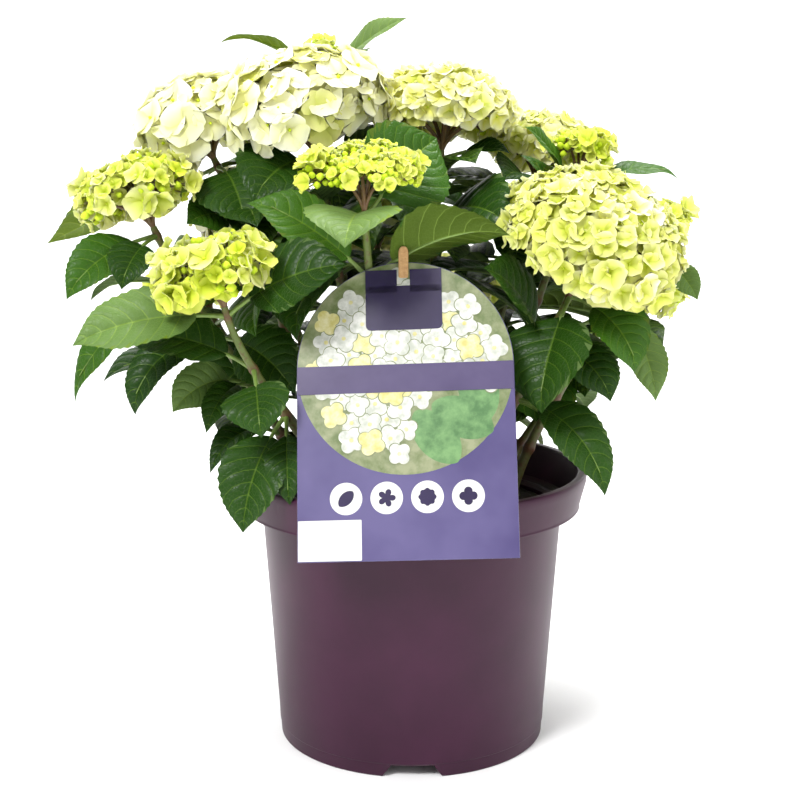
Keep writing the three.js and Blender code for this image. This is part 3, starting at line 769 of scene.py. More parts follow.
@dataclass
class PictureCard:
    """The hung card: square foot, round head, a slot for the peg, and a plain floral print.

    The card lies in its own X-Y plane, foot's middle at the origin and face towards +Z. Each
    printed shape is a closed flake as many ink thicknesses high as its layer's number.
    """

    width: float = 130.0
    length: float = 180.0
    thick: float = 1.0
    edge_inset: float = 0.25
    slot_width: float = 7.4
    slot_length: float = 10.0
    slot_at: float = 170.5
    foot: tuple[float, float, float] = (-3.0, -126.8, 152.9)
    lean_back: float = 21.5
    turn: float = -5.1
    roll: float = 2.8
    ink: float = 0.02
    margin: float = 0.4
    band: tuple[float, float] = (100.0, 117.0)
    patch: tuple[float, float, float] = (23.0, 138.0, 175.3)
    panel: tuple[float, float, float] = (-27.0, 0.6, 24.5)
    leaves: tuple[tuple[float, float], ...] = ((-1.17, -0.9), (-0.75, -0.45), (-0.33, -1.35))
    leaf_reach: float = 46.0
    leaf_length: float = 40.0
    flowers: int = 78
    flower_size: tuple[float, float] = (7.0, 8.8)
    flower_dent: float = 0.34
    flower_rim: float = 0.6
    flower_eye: float = 1.3
    symbols: tuple[tuple[float, int], ...] = ((0.0, 1), (0.5, 5), (0.2, 8), (0.35, 4))
    symbol_at: tuple[float, float, float] = (-36.0, 37.0, 24.0)
    symbol_radius: float = 9.6
    mark_radius: float = 5.4

    @property
    def head(self) -> Array:
        """The middle of the round head."""
        return np.array([0.0, self.length - self.width / 2])

    def place(self, points: Array) -> Array:
        """Points of the card's own plane, taken to its place: roll, lean, turn, then the foot."""
        matrix = turned(self.turn, 2) @ turned(90 - self.lean_back, 0) @ turned(self.roll, 2)
        return points @ matrix.T + np.array(self.foot)

    def stack(self, surface: Surface, level: list[tuple[Array, float]], ink: Print) -> None:
        """Adds a body whose rings are outlines, each at a height over the card's plane.

        Args:
            surface: the piece.
            level: each ring, shape (n, 2), and its height.
            ink: the finish.
        """
        rings = np.stack([np.concatenate([ring, np.full((len(ring), 1), z)], 1) for ring, z in level])
        faces = grid_faces(*rings.shape[:2], True)[:, ::-1]
        surface.add(self.place(rings), faces, list(Print).index(ink))

    def outline(self, steps: int = 120) -> Array:
        """The card's edge, seen from its slot's middle: where a ray at each angle leaves the card.

        Args:
            steps: rays at equal angles, to which the foot's two corners are added.

        Returns:
            Points of shape (steps + 2, 2), counterclockwise.
        """
        half, centre = self.width / 2, self.head
        eye = np.array([0.0, self.slot_at])
        corner = np.array([[-half, 0], [half, 0]]) - eye
        angle = np.unique(np.concatenate([np.linspace(-np.pi, np.pi, steps, endpoint=False),
                                          np.arctan2(corner[:, 1], corner[:, 0])]))
        ray = compass(angle)
        offset = eye - centre
        along = ray @ offset
        arc = -along + np.sqrt(along**2 + half**2 - offset @ offset)
        with np.errstate(divide="ignore"):
            side = half / np.abs(ray[:, 0])
            base = np.where(ray[:, 1] < 0, -eye[1] / ray[:, 1], np.inf)
        square = np.minimum(side, base)
        high = eye[1] + arc * ray[:, 1] > centre[1]
        return eye + ray * np.where(high, arc, square)[:, None]

    def card(self, surface: Surface) -> None:
        """The card round its slot: rings run from the slot's edge out over the face and back.

        Args:
            surface: the piece.
        """
        outer = self.outline()
        eye = np.array([0.0, self.slot_at])
        ray = unit(outer - eye)
        half = np.array([self.slot_width, self.slot_length]) / 2
        slot = eye + ray * np.min(half / np.maximum(np.abs(ray), 1e-9), axis=1)[:, None]
        inset = outer - ray * self.edge_inset
        back = -self.thick
        self.stack(surface, [(slot, 0), (inset, 0), (outer, -self.edge_inset), (outer, back + 0.2),
                             (inset, back), (slot, back), (slot, 0)], Print.CARD)

    def flake(self, surface: Surface, outline: Array, layer: int, ink: Print) -> None:
        """One printed shape: a closed flake from the card's face to its own layer's height.

        Args:
            surface: the piece.
            outline: its edge, counterclockwise, shape (n, 2); every point is seen from its mean.
            layer: how many inks lie under and in it.
            ink: its finish.
        """
        middle = np.broadcast_to(outline.mean(0), outline.shape)
        low, high = -self.ink, self.ink * layer
        self.stack(surface, [(middle, high), (outline, high), (outline, low), (middle, low)], ink)

    def round_shape(self, at: Array, radius: float, dent: float = 0.0, petals: int = 4,
                    turn: float = 0.0, steps: int = 40) -> Array:
        """A disc whose radius swells into petals: radius times (1 - dent + dent |cos|^0.8).

        Args:
            at: its middle.
            radius: its largest radius.
            dent: how far it sinks between petals.
            petals: how many.
            turn: radians.
            steps: points.

        Returns:
            Points, shape (steps, 2).
        """
        angle = around(steps)
        reach = radius * (1 - dent + dent * np.abs(np.cos(petals / 2 * (angle - turn))) ** 0.8)
        return at + reach[:, None] * compass(angle)

    def leaf_shape(self, at: Array, length: float, turn: float, steps: int = 30) -> Array:
        """A pointed leaf: length along its turn, and 0.3 of it times a sine to either side.

        Args:
            at: its middle.
            length: from tip to tip.
            turn: radians.
            steps: points.

        Returns:
            Points, shape (steps, 2).
        """
        share = around(steps)
        along = -np.cos(share) * length / 2
        wide = -0.3 * length * np.sin(share) * np.abs(np.sin(share)) ** 0.3
        c, s = math.cos(turn), math.sin(turn)
        return at + np.stack([along * c - wide * s, along * s + wide * c], 1)

    def box_shape(self, left: float, right: float, low: float, high: float, soft: float) -> Array:
        """A rectangle whose corners are quarter circles of radius soft.

        Args:
            left: least X.
            right: greatest X.
            low: least Y.
            high: greatest Y.
            soft: the corners' radius.

        Returns:
            Points, shape (20, 2).
        """
        arc = compass(np.linspace(0, np.pi / 2, 5)) * soft
        parts = []
        for sx, sy, step in ((1, 1, 1), (-1, 1, -1), (-1, -1, 1), (1, -1, -1)):
            middle = [(right if sx > 0 else left) - soft * sx, (high if sy > 0 else low) - soft * sy]
            parts.append(middle + arc[::step] * [sx, sy])
        return np.concatenate(parts)

    def picture(self, surface: Surface) -> None:
        """A round picture of plain four-petalled flowers in rings, with leaves at its right foot.

        Each flower lies on a slightly larger one of the ground's colour, which parts it from its
        neighbours. None is printed where the leaves show.

        Args:
            surface: the piece.
        """
        middle, radius = self.head, self.width / 2 - self.margin
        self.flake(surface, self.round_shape(middle, radius, steps=96), 1, Print.GROUND)
        for k, (where, turn) in enumerate(self.leaves):
            at = middle + self.leaf_reach * compass(np.array(where))
            self.flake(surface, self.leaf_shape(at, self.leaf_length, turn), 2 + k, Print.LEAF)
        random = np.random.default_rng(21)
        for k in range(self.flowers):
            reach = (radius - 9.6) * math.sqrt((k + 0.5) / self.flowers)
            at = middle + reach * compass(np.array(k * GOLDEN))
            if at[0] > 6 and at[1] < middle[1] - 12 and reach > 24:
                continue
            colour = Print.CREAM if k % 5 == 2 else Print.WHITE
            size, turn, layer = random.uniform(*self.flower_size), random.uniform(0, 3), 5 + 2 * (k % 9)
            rim = self.round_shape(at, size + self.flower_rim, self.flower_dent, 4, turn)
            self.flake(surface, rim, layer, Print.GROUND)
            flower = self.round_shape(at, size, self.flower_dent, 4, turn)
            self.flake(surface, flower, layer + 1, colour)
            self.flake(surface, self.round_shape(at, self.flower_eye, steps=10), 24, Print.CREAM)

    def make(self) -> Piece:
        """The card with its picture, a plain patch and band, a row of symbols and a blank panel.

        Returns:
            The piece.
        """
        surface = Surface()
        self.card(surface)
        self.picture(surface)
        half, low, high = self.patch
        slot_low, slot_side = self.slot_at - self.slot_length / 2 - 0.2, self.slot_width / 2 + 0.2
        edge = self.width / 2 - self.margin
        shapes = [
            (self.box_shape(-half, half, low, slot_low, 3), 27, Print.DEEP),
            (self.box_shape(-half, -slot_side, slot_low - 4, high, 0.3), 27, Print.DEEP),
            (self.box_shape(slot_side, half, slot_low - 4, high, 0.3), 27, Print.DEEP),
            (self.box_shape(-edge, edge, *self.band, 0.5), 26, Print.BAND),
        ]
        left, up, apart = self.symbol_at
        for k, (dent, petals) in enumerate(self.symbols):
            at = np.array([left + apart * k, up])
            disc = self.round_shape(at, self.symbol_radius, steps=48)
            mark = self.round_shape(at, self.mark_radius, dent, petals)
            if k == 0:
                mark = self.leaf_shape(at, 12, 0.8)
            shapes += [(disc, 2, Print.PLAIN), (mark, 3, Print.DEEP)]
        shapes.append((self.box_shape(-edge, *self.panel, 0.5), 2, Print.PLAIN))
        for outline, layer, colour in shapes:
            self.flake(surface, outline, layer, colour)
        materials = [ink.value.material() for ink in Print]
        return dress(surface.build("picture_card", materials, 30), "label", "label")


@dataclass
class BambooPeg:
    """A flat bamboo strip through the card's slot, with a rounded tip."""

    card: PictureCard
    width: float = 6.0
    thick: float = 1.6
    depth: float = 60.0
    soil_y: float = -66.0
    soil_top: float = 158.0
    above: float = 19.0
    tip: float = 4.0
    sides: int = 24

    finish: PlainFinish = PlainFinish(
        "bamboo", (0.50, 0.30, 0.12), (0.36, 0.19, 0.07), 0.5, 500.0, 900.0, 0.3, 0.0003)

    def make(self) -> Piece:
        """Rounded sections along a straight line, narrowed to the tip by a quarter of an ellipse.

        Returns:
            The piece.
        """
        slot = self.card.place(np.array([0, self.card.slot_at, -self.card.thick / 2]))
        ground = np.array([slot[0], self.soil_y, self.soil_top])
        along = unit(slot - ground)
        level = self.card.place(np.array([1.0, 0, 0])) - self.card.place(np.zeros(3))
        level = unit(level - along * (level @ along))
        back = np.cross(along, level)
        reach, tip = np.linalg.norm(slot - ground) + self.above, self.tip
        below = np.concatenate([[reach + self.depth], np.linspace(reach, tip + 0.5, 24),
                                tip * np.cos(np.linspace(0.2, 1.5, 8))])
        narrowed = np.sqrt(np.clip(1 - ((tip - below) / (tip + 0.1)) ** 2, 0.02, 1))
        share = np.where(below > tip, 1.0, narrowed)
        c, s = compass(around(self.sides)).T
        wide = np.sign(c) * np.abs(c) ** 0.5 * self.width / 2
        deep = np.sign(s) * np.abs(s) ** 0.5 * self.thick / 2
        middle = (ground + along * (reach - below)[:, None])[:, None]
        rings = middle + share[:, None, None] * wide[:, None] * level + deep[:, None] * back
        ends = [np.broadcast_to(middle[k], rings[0].shape)[None] for k in (0, -1)]
        return ringed_piece("bamboo_peg", np.concatenate([ends[0], rings, ends[1]]), self.finish, 48,
                            "peg", "label_peg")


# --- shoots


class Kind(Enum):
    """Kinds of flower head."""

    WHITE = "white"
    CREAM = "cream"
    LIME = "lime"
    BUD = "bud"


@dataclass(frozen=True)
class CadHead:
    """The source's head of a kind, which sets how many random draws a head takes."""

    floret: float
    count: int
    round: float


CAD_HEADS = {
    Kind.WHITE: CadHead(18, 15, 112),
    Kind.CREAM: CadHead(15, 16, 108),
    Kind.LIME: CadHead(11, 12, 92),
    Kind.BUD: CadHead(7, 10, 72),
}


@dataclass(frozen=True)
class Shoot:
    """One shoot: its head, the way the head's axis leans, its leaf pairs and their first turn."""

    name: str
    kind: Kind
    centre: tuple[float, float, float]
    half_width: float
    half_height: float
    lean: float
    tilt: float
    pairs: int
    turn: float

    @property
    def axis(self) -> Array:
        """Unit vector along the head's axis: tilt degrees from +Z, towards the lean."""
        lean, tilt = math.radians(self.lean), math.radians(self.tilt)
        return np.array([math.cos(lean) * math.sin(tilt), math.sin(lean) * math.sin(tilt), math.cos(tilt)])

    @property
    def size(self) -> Array:
        """The head's half-sizes, the last along its axis."""
        return np.array([self.half_width, self.half_width, self.half_height])

    @property
    def fork(self) -> Array:
        """Where the rays leave the cane, below the head's middle on its axis."""
        return np.array(self.centre) - self.axis * (0.35 * self.half_width + 10)

    def dome_area(self, degrees: float) -> float:
        """Area of a cap on a ball of the head's mean size, to so many degrees from its top."""
        girth = (2 * self.half_width + self.half_height) / 3
        return 2 * math.pi * girth**2 * (1 - math.cos(math.radians(degrees)))

    @property
    def head_draws(self) -> int:
        """Random draws the source takes for this head: two for each of its florets."""
        head = CAD_HEADS[self.kind]
        return 2 * min(head.count, math.floor(self.dome_area(head.round) / (1.9 * head.floret**2)))


# Name, head, its middle, half-width and half-height, lean, tilt, leaf pairs and first turn.
SHOOTS = [Shoot(*row) for row in (
    ("upper_white", Kind.WHITE, (-69, 10, 414), 55, 38, 200, 12, 3, -121),
    ("left_white", Kind.WHITE, (-141, 34, 402), 43, 31, 170, 26, 3, -115),
    ("upper_cream", Kind.CREAM, (22, 40, 412), 50, 25, 60, 10, 3, -20),
    ("right_cream", Kind.CREAM, (112, -45, 331), 60, 41, -25, 25, 3, -112),
    ("back_cream", Kind.CREAM, (91, 78, 384), 37, 23, 40, 18, 3, -111),
    ("left_lime", Kind.LIME, (-174, -5, 359), 38, 22, 180, 22, 5, -137),
    ("left_front", Kind.LIME, (-117, -80, 317), 36, 17, 215, 14, 3, -160),
    ("front_bud", Kind.BUD, (-30, -70, 374), 37, 12, -100, 14, 3, -99),
    ("right_bud", Kind.BUD, (112, 25, 382), 21, 15, 20, 15, 3, -144),
    ("far_right_bud", Kind.BUD, (168, 25, 337), 15, 13, 10, 30, 3, -45),
    ("top_bud", Kind.BUD, (-62, 85, 449), 9, 6, 90, 8, 3, 170),
    ("back_left", Kind.WHITE, (-112, 92, 345), 44, 27, 140, 24, 3, 60),
    ("back_mid", Kind.WHITE, (-25, 138, 335), 44, 28, 95, 24, 3, 20),
    ("back_right", Kind.CREAM, (92, 135, 330), 42, 25, 55, 28, 3, 100),
    ("right_back", Kind.LIME, (160, 88, 290), 36, 18, 30, 34, 3, 5),
    ("left_back", Kind.LIME, (-152, 98, 286), 36, 18, 150, 34, 3, 115),
    ("low_back", Kind.CREAM, (32, 178, 276), 36, 19, 82, 36, 3, 150),
)]


class Tone(Enum):
    """Leaf tones; every spray is dealt its own, with a few leaves set apart."""

    # The tones are partly painted light. The pale one is for young leaves and also for leaves that catch the
    # light or glow with light through them; the deep one is the darkest green and also painted shade for
    # leaves that sit in shadow.
    DEEP = "deep"
    MID = "mid"
    FRESH = "fresh"


@dataclass(frozen=True)
class Leaf:
    """A leaf: compass turn, rise and length of the line from root to tip, droop, width, roll."""

    pair: float
    side: int
    turn: float
    rise: float
    span: float
    droop: float
    width: float
    roll: float
    tone: Tone | None = None
    fine: bool = True


D, M, F = Tone.DEEP, Tone.MID, Tone.FRESH
# Leaves set one by one: pair, side, turn, rise, span, droop, width, roll and tone.
POSED = {name: [Leaf(*row) for row in rows] for name, rows in {
    "left_front": [
        (0, 0, -165, -8, 93, 30, 0.5, -42, F), (0, 1, -15, 24, 82, 35, 0.62, 50, D),
        (1, 0, 178, 14, 86, 40, 0.5, -40, D), (1, 1, -80, -40, 52, 50, 0.85, 20, D),
        (2, 0, -125, -57, 79, 50, 0.56, -20, D), (2, 1, -85, -50, 62, 50, 0.45, 20, D)],
    "left_white": [
        (0, 0, 164, -22, 138, -16, 0.36, 30, F), (0, 1, -75, -30, 68, 60, 0.8, 20, D),
        (1, 0, -150, 2, 66, 40, 0.6, -50, M), (1, 1, -77, 3, 66, 60, 0.7, 20, D),
        (2, 0, -92, -22, 80, 40, 0.6, 50, M)],
    "left_lime": [
        (0, 0, -140, -27, 75, 45, 0.45, -40, M), (0, 1, -112, -32, 53, 50, 0.6, -20, D),
        (1, 0, 165, -5, 70, 45, 0.45, 10, D), (1, 1, -166, -42, 105, 50, 0.25, -35, M),
        (2, 0, -140, -32, 80, 85, 0.4, -25, D), (2, 1, -55, -29, 80, 50, 0.6, 50, D),
        (3, 0, -142, -10, 60, 80, 0.55, -50, F), (3, 1, -115, -20, 60, 85, 0.35, -20, D),
        (4, 0, -130, -12, 66, 95, 0.35, -10, D)],
    "upper_white": [(0, 0, -121, -18, 72, 50, 0.8, -25, D), (1, 0, -109, 18, 60, 50, 0.8, 10, D)],
    "front_bud": [
        (0, 0, -99, -8, 66, 60, 0.9, 0, F), (0, 1, 40, 40, 76, 20, 0.85, 62, M),
        (1, 0, -163, 26, 104, 25, 0.5, -45, M), (1, 1, -13, 20, 92, 45, 0.6, -35, M)],
    "upper_cream": [
        (0, 0, -20, 8, 48, 30, 0.5, 20, D), (0, 1, -173, 12, 46, 40, 0.6, -30, D),
        (1, 0, -52, 2, 82, 40, 0.66, 40, D), (1, 1, -100, -6, 84, 60, 0.66, -20, D)],
    "back_cream": [(0, 0, -111, 12, 66, 40, 0.6, -30, D)],
    "right_bud": [
        (0, 0, -142, 45, 60, 15, 0.36, -50, M), (0, 1, -6, 10, 70, 45, 0.3, 20, M),
        (1, 0, -160, 70, 66, 50, 0.36, -40, M), (1, 1, -12, 38, 66, 40, 0.4, 40, D)],
    "right_cream": [
        (0, 0, -119, -54, 81, 30, 0.82, 8, D), (0, 1, -38, -40, 66, 60, 0.62, 25, M),
        (1, 0, -132, 44, 80, 45, 0.6, -60, D), (1, 1, -42, -27, 60, 75, 0.6, 25, D),
        (2, 0, -41, -36, 88, 72, 0.4, 30, D), (2, 1, -20, -40, 50, 50, 0.4, 20, D)],
    "right_back": [(2, 1, 62, -12, 66, 45, 0.5, 0, D)],
    "far_right_bud": [
        (0, 0, -40, -38, 46, 40, 0.42, 45, F), (1, 0, -54, -58, 72, 30, 0.38, 25, F),
        (2, 0, -150, -30, 60, 60, 0.5, -10, D)],
    "top_bud": [
        (0, 0, 178, 25, 76, 46, 0.3, 12, F), (0, 1, -28, 33, 78, 15, 0.34, 45, F),
        (1, 0, -150, 72, 66, 12, 0.36, -30, F)],
}.items()}

# Length share, rise and droop of the rule's leaves, for each pair down a cane.
LEAF_BY_PAIR = ((0.82, 16, 35), (1.0, 4, 45), (0.98, -12, 55), (0.85, -24, 65), (0.7, -34, 70))
# Turn, rise and length share by which a leaf steps aside until it has room.
LEAF_TRIES = (
    (0, 0, 1), (8, 0, 1), (-8, 0, 1), (0, 9, 1), (0, -9, 1), (14, 7, 0.92), (-14, -7, 0.92),
    (14, -9, 0.85), (-14, 9, 0.85), (26, 0, 0.8), (-26, 0, 0.8), (0, 18, 0.8), (0, -18, 0.8),
)
LEAF_LENGTH, LEAF_WIDTH, LEAF_SPREAD = 108.0, 0.6, 12.0  # millimetres, share of length, degrees
PETIOLE, FOLD = 18.0, 16.0  # millimetres of bare stalk, degrees each half rises from the midrib
PAIR_FIRST, PAIR_SPACING = 6.0, 38.0  # millimetres down the cane
FILL_STEPS, FILL_REACH, FILL_BEHIND = 16, 15.0, 0.0  # tries per shoot, how far out, from which Y


class SameDraws:
    """The source's repeatable numbers: each is the one before times 16807, modulo 2^31 - 1."""

    FACTOR, MODULUS = 16807, 2147483647

    def __init__(self, seed: int) -> None:
        """Starts at a seed."""
        self.state = seed

    def draw(self) -> float:
        """The next number, from 0 to 1."""
        self.state = self.state * self.FACTOR % self.MODULUS
        return self.state / self.MODULUS

    def wander(self, size: float) -> float:
        """A number from -size to size."""
        return (2 * self.draw() - 1) * size


def cane_feet(spread: float = 0.42, gap: float = 14.0, rounds: int = 200) -> list[Array]:
    """Where canes leave the soil: a share of the forks' reach, pushed apart until none is too near.

    Args:
        spread: that share.
        gap: least distance between two feet.
        rounds: how often every pair is looked at.

    Returns:
        X and Y of each foot, in the order of SHOOTS.
    """
    feet = [shoot.fork[:2] * spread for shoot in SHOOTS]
    for _ in range(rounds):
        for i, j in itertools.combinations(range(len(feet)), 2):
            apart = feet[j] - feet[i]
            length = float(np.linalg.norm(apart))
            if length < gap:
                push = apart / length * (gap - length) / 2
                feet[i] = feet[i] - push
                feet[j] = feet[j] + push
    return feet


class CanePath:
    """A cane's cubic curve from foot to fork, read by distance along it."""

    def __init__(self, shoot: Shoot, foot: Array, ground: float = 158.3) -> None:
        """Samples the curve: upright at the foot, and along the head's axis at the fork.

        Args:
            shoot: the shoot at its end.
            foot: X and Y where it starts.
            ground: height of its start.
        """
        start, end = np.array([*foot, ground]), shoot.fork
        reach = float(np.linalg.norm(end - start))
        rising = start + [(end[0] - start[0]) * 0.15, (end[1] - start[1]) * 0.15, 0.3 * reach]
        arriving = end - shoot.axis * 0.3 * reach
        t = np.linspace(0, 1, 401)[:, None]
        self.samples = ((1 - t) ** 3 * start + 3 * (1 - t) ** 2 * t * rising
                        + 3 * (1 - t) * t**2 * arriving + t**3 * end)
        steps = np.linalg.norm(np.diff(self.samples, axis=0), axis=1)
        self.distance = np.concatenate([[0], np.cumsum(steps)])
        self.length = float(self.distance[-1])

    def at(self, distance: Array) -> Array:
        """Points at distances from the foot."""
        return np.stack([np.interp(distance, self.distance, self.samples[:, k]) for k in range(3)], -1)

    def node(self, pair: float) -> Array:
        """The point where a leaf pair leaves the cane."""
        return self.at(np.array(self.length - PAIR_FIRST - PAIR_SPACING * pair))


@dataclass
class LeafLine:
    """A leaf's midrib: a circular arc in one upright plane, with the blade's axes along it."""

    root: Array
    leaf: Leaf

    def length(self) -> float:
        """Arc length: span times half the bend over its sine."""
        bend = max(math.radians(self.leaf.droop), 0.02)
        return self.leaf.span * bend / 2 / math.sin(bend / 2)

    def frame(self, share: Array) -> tuple[Array, Array, Array]:
        """Points and axes at shares of the arc.

        Args:
            share: any shape.

        Returns:
            Points, unit vectors to the side, and unit vectors up from the blade.
        """
        leaf = self.leaf
        bend = max(math.radians(leaf.droop), 0.02)
        first = math.radians(leaf.rise) + bend / 2
        turn, roll = math.radians(leaf.turn), math.radians(leaf.roll)
        out = np.array([math.cos(turn), math.sin(turn), 0.0])
        level = np.array([-out[1], out[0], 0.0])
        slope = (first - bend * share)[..., None]
        along = (math.sin(first) - np.sin(slope)) / bend * self.length()
        height = (np.cos(slope) - math.cos(first)) / bend * self.length()
        rise = np.array([0.0, 0.0, 1.0])
        forward = out * np.cos(slope) + rise * np.sin(slope)
        above = np.cross(forward, level)
        side = level * math.cos(roll) + above * math.sin(roll)
        up = above * math.cos(roll) - level * math.sin(roll)
        return self.root + out * along + rise * height, side, up


BLADE_GRID = (0.1, 0.32, 0.58, 0.82)  # where the sections stand along the blade
BLADE_HALF = (0.1, 0.55, 0.98, 0.93, 0.48)  # half-width shares at its foot and at the sections


def blade_proxy(line: LeafLine) -> tuple[Array, Array]:
    """The source's four blade sections and tip as two folded strips, for finding room.

    Args:
        line: the leaf's midrib.

    Returns:
        Points and faces.
    """
    stalk = PETIOLE / line.length()
    at = np.concatenate([[stalk], stalk + (1 - stalk) * np.array(BLADE_GRID)])
    point, side, up = line.frame(at)
    half = line.leaf.span * line.leaf.width / 2 * np.array(BLADE_HALF)[:, None]
    fold = math.radians(FOLD)
    left, right = [point + side * sign * half * math.cos(fold) + up * half * math.sin(fold)
                   for sign in (1, -1)]
    tip = line.frame(np.array([1.0]))[0]
    rows = [np.concatenate([ring, tip]) for ring in (left, point, right)]
    return np.stack(rows, 1).reshape(-1, 3), grid_faces(6, 3)


@dataclass
class Taken:
    """A body that leaves keep clear of."""

    owner: str
    tree: BVHTree
    low: Array
    high: Array


class Room:
    """What has been placed so far, for leaves to keep clear of."""

    def __init__(self) -> None:
        """Starts empty."""
        self.bodies: list[Taken] = []

    def body(self, owner: str, points: Array, faces: Array) -> Taken:
        """A body's search tree and box."""
        tree = BVHTree.FromPolygons(points.tolist(), faces.tolist(), epsilon=CLEAR)
        return Taken(owner, tree, points.min(0) - CLEAR, points.max(0) + CLEAR)

    def take(self, owner: str, points: Array, faces: Array) -> None:
        """Adds a body."""
        self.bodies.append(self.body(owner, points, faces))

    def is_free(self, tried: Taken, own: bool) -> bool:
        """Whether a body meets nothing that has been placed.

        Args:
            tried: the body.
            own: whether its own shoot counts.

        Returns:
            True if it is free.
        """
        for other in self.bodies:
            if other.owner == tried.owner and not own:
                continue
            if (tried.low < other.high).all() and (other.low < tried.high).all():
                if tried.tree.overlap(other.tree):
                    return False
        return True



@dataclass
class Growth:
    """Every leaf in its place: posed ones first, then those by the rule, then small inner ones.

    Each takes the first of its tries that has room. The inner ones stand between the pairs, where
    the shoots would otherwise leave holes in the crown.
    """

    paths: dict[str, CanePath]
    room: Room = field(default_factory=Room)
    grown: list[tuple[Shoot, Leaf, LeafLine]] = field(default_factory=list)
    head_share: float = 0.97
    cane_radius: float = 2.8

    # Plain outlines of the card, as (x, y) on it, and of the pot, as (radius, height).
    CARD = ((-65, 0), (65, 0), (65, 118), (40, 168), (0, 181), (-40, 168), (-65, 118))
    CARD_FACES = ((0, 1, 2, 6), (6, 2, 3, 5), (5, 3, 4, 4))
    POT = ((99, 100), (99, 155), (110.5, 155.5), (115, 178), (112, 180), (109, 178), (97, 152),
           (96, 158), (0, 158))

    def settle(self) -> None:
        """Takes up the room of every head and cane, of the card and of the pot with its soil."""
        shell, shell_faces = ball(12, 8)
        for shoot in SHOOTS:
            points = shell * (shoot.size * self.head_share) @ turn_from_up(shoot.axis)
            self.room.take(shoot.name, points + np.array(shoot.centre), shell_faces)
            path = self.paths[shoot.name]
            line = path.at(np.linspace(0, path.length, 12))[None]
            tube, faces = tubes(line, np.full((1, 12), self.cane_radius), 5)
            self.room.take(f"{shoot.name}_cane", tube.reshape(-1, 3), faces)
        card = PictureCard().place(np.pad(np.array(self.CARD, float), ((0, 0), (0, 1))))
        self.room.take("label", card, np.array(self.CARD_FACES))
        radius, height = np.array(self.POT).T[..., None]
        c, s = compass(around(36)).T
        rings = np.stack([radius * c, radius * s, height * np.ones(36)], -1)
        self.room.take("pot", rings.reshape(-1, 3), grid_faces(*rings.shape[:2], True))

    def seat(self, shoot: Shoot, leaf: Leaf, own: bool) -> None:
        """Places a leaf at the first of its tries that has room, or not at all.

        Args:
            shoot: whose leaf.
            leaf: the leaf as first wanted.
            own: whether it also keeps clear of its own shoot's leaves and head.
        """
        root = self.paths[shoot.name].node(leaf.pair)
        for turn, rise, span in LEAF_TRIES:
            tried = replace(leaf, turn=leaf.turn + turn, rise=leaf.rise + rise, span=leaf.span * span)
            line = LeafLine(root, tried)
            body = self.room.body(shoot.name, *blade_proxy(line))
            tip = line.frame(np.array(1.0))[0]
            inside = leaf.fine or math.hypot(tip[0], tip[1]) < math.hypot(root[0], root[1]) + FILL_REACH
            if inside and self.room.is_free(body, own):
                self.room.bodies.append(body)
                self.grown.append((shoot, tried, line))
                return
        if leaf.fine:
            log.info("no room: %s %d/%d", shoot.name, leaf.pair, leaf.side)

    def ruled(self, shoot: Shoot, random: SameDraws) -> None:
        """Seats a shoot's leaves by the source's rule, but for those that are posed.

        Args:
            shoot: the shoot.
            random: its draws, which follow those for its head.
        """
        posed = {(leaf.pair, leaf.side) for leaf in POSED.get(shoot.name, [])}
        for pair, side in itertools.product(range(shoot.pairs), (0, 1)):
            length, rise, droop = LEAF_BY_PAIR[pair]
            turn = shoot.turn + 90 * pair + 180 * side + random.wander(LEAF_SPREAD)
            up = rise + random.wander(LEAF_SPREAD)
            span = LEAF_LENGTH * length * (1 + random.wander(0.1))
            leaf = Leaf(pair, side, turn, up, span, droop, LEAF_WIDTH, random.wander(2 * LEAF_SPREAD))
            if (pair, side) not in posed:
                self.seat(shoot, leaf, True)

    def filled(self, shoot: Shoot, random: Random) -> None:
        """Seats small leaves of the darkest tone between the pairs, four to each place on the cane. Their
        dark green is partly painted shade, for the shade inside the crown.

        Args:
            shoot: the shoot.
            random: numbers for their turns, sizes and bends.
        """
        for step in range(FILL_STEPS):
            pair, side = 0.35 + 0.5 * (step // 4), step % 4
            turn = shoot.turn + 45 + 90 * side + random.uniform(-15, 15)
            rise, span, droop, width, roll = [random.uniform(*ends) for ends in (
                (-18, 22), (58, 82), (35, 60), (0.5, 0.62), (-25, 25))]
            self.seat(shoot, Leaf(pair, side, turn, rise, span, droop, width, roll, Tone.DEEP, False), True)

    def grow(self) -> list[tuple[Shoot, Leaf, LeafLine]]:
        """Seats every leaf: posed rows, then the rule's, then inner ones behind the middle.

        Returns:
            Shoot, leaf and midrib of each.
        """
        self.settle()
        by_name = {shoot.name: shoot for shoot in SHOOTS}
        for name, leaves in POSED.items():
            for leaf in leaves:
                self.seat(by_name[name], leaf, False)
        for index, shoot in enumerate(SHOOTS):
            random = SameDraws(1000 + 77 * index)
            for _ in range(shoot.head_draws):
                random.draw()
            self.ruled(shoot, random)
        for index, shoot in enumerate(SHOOTS):
            if shoot.centre[1] >= FILL_BEHIND:
                self.filled(shoot, np.random.default_rng(900 + index))
        return self.grown


# --- canes


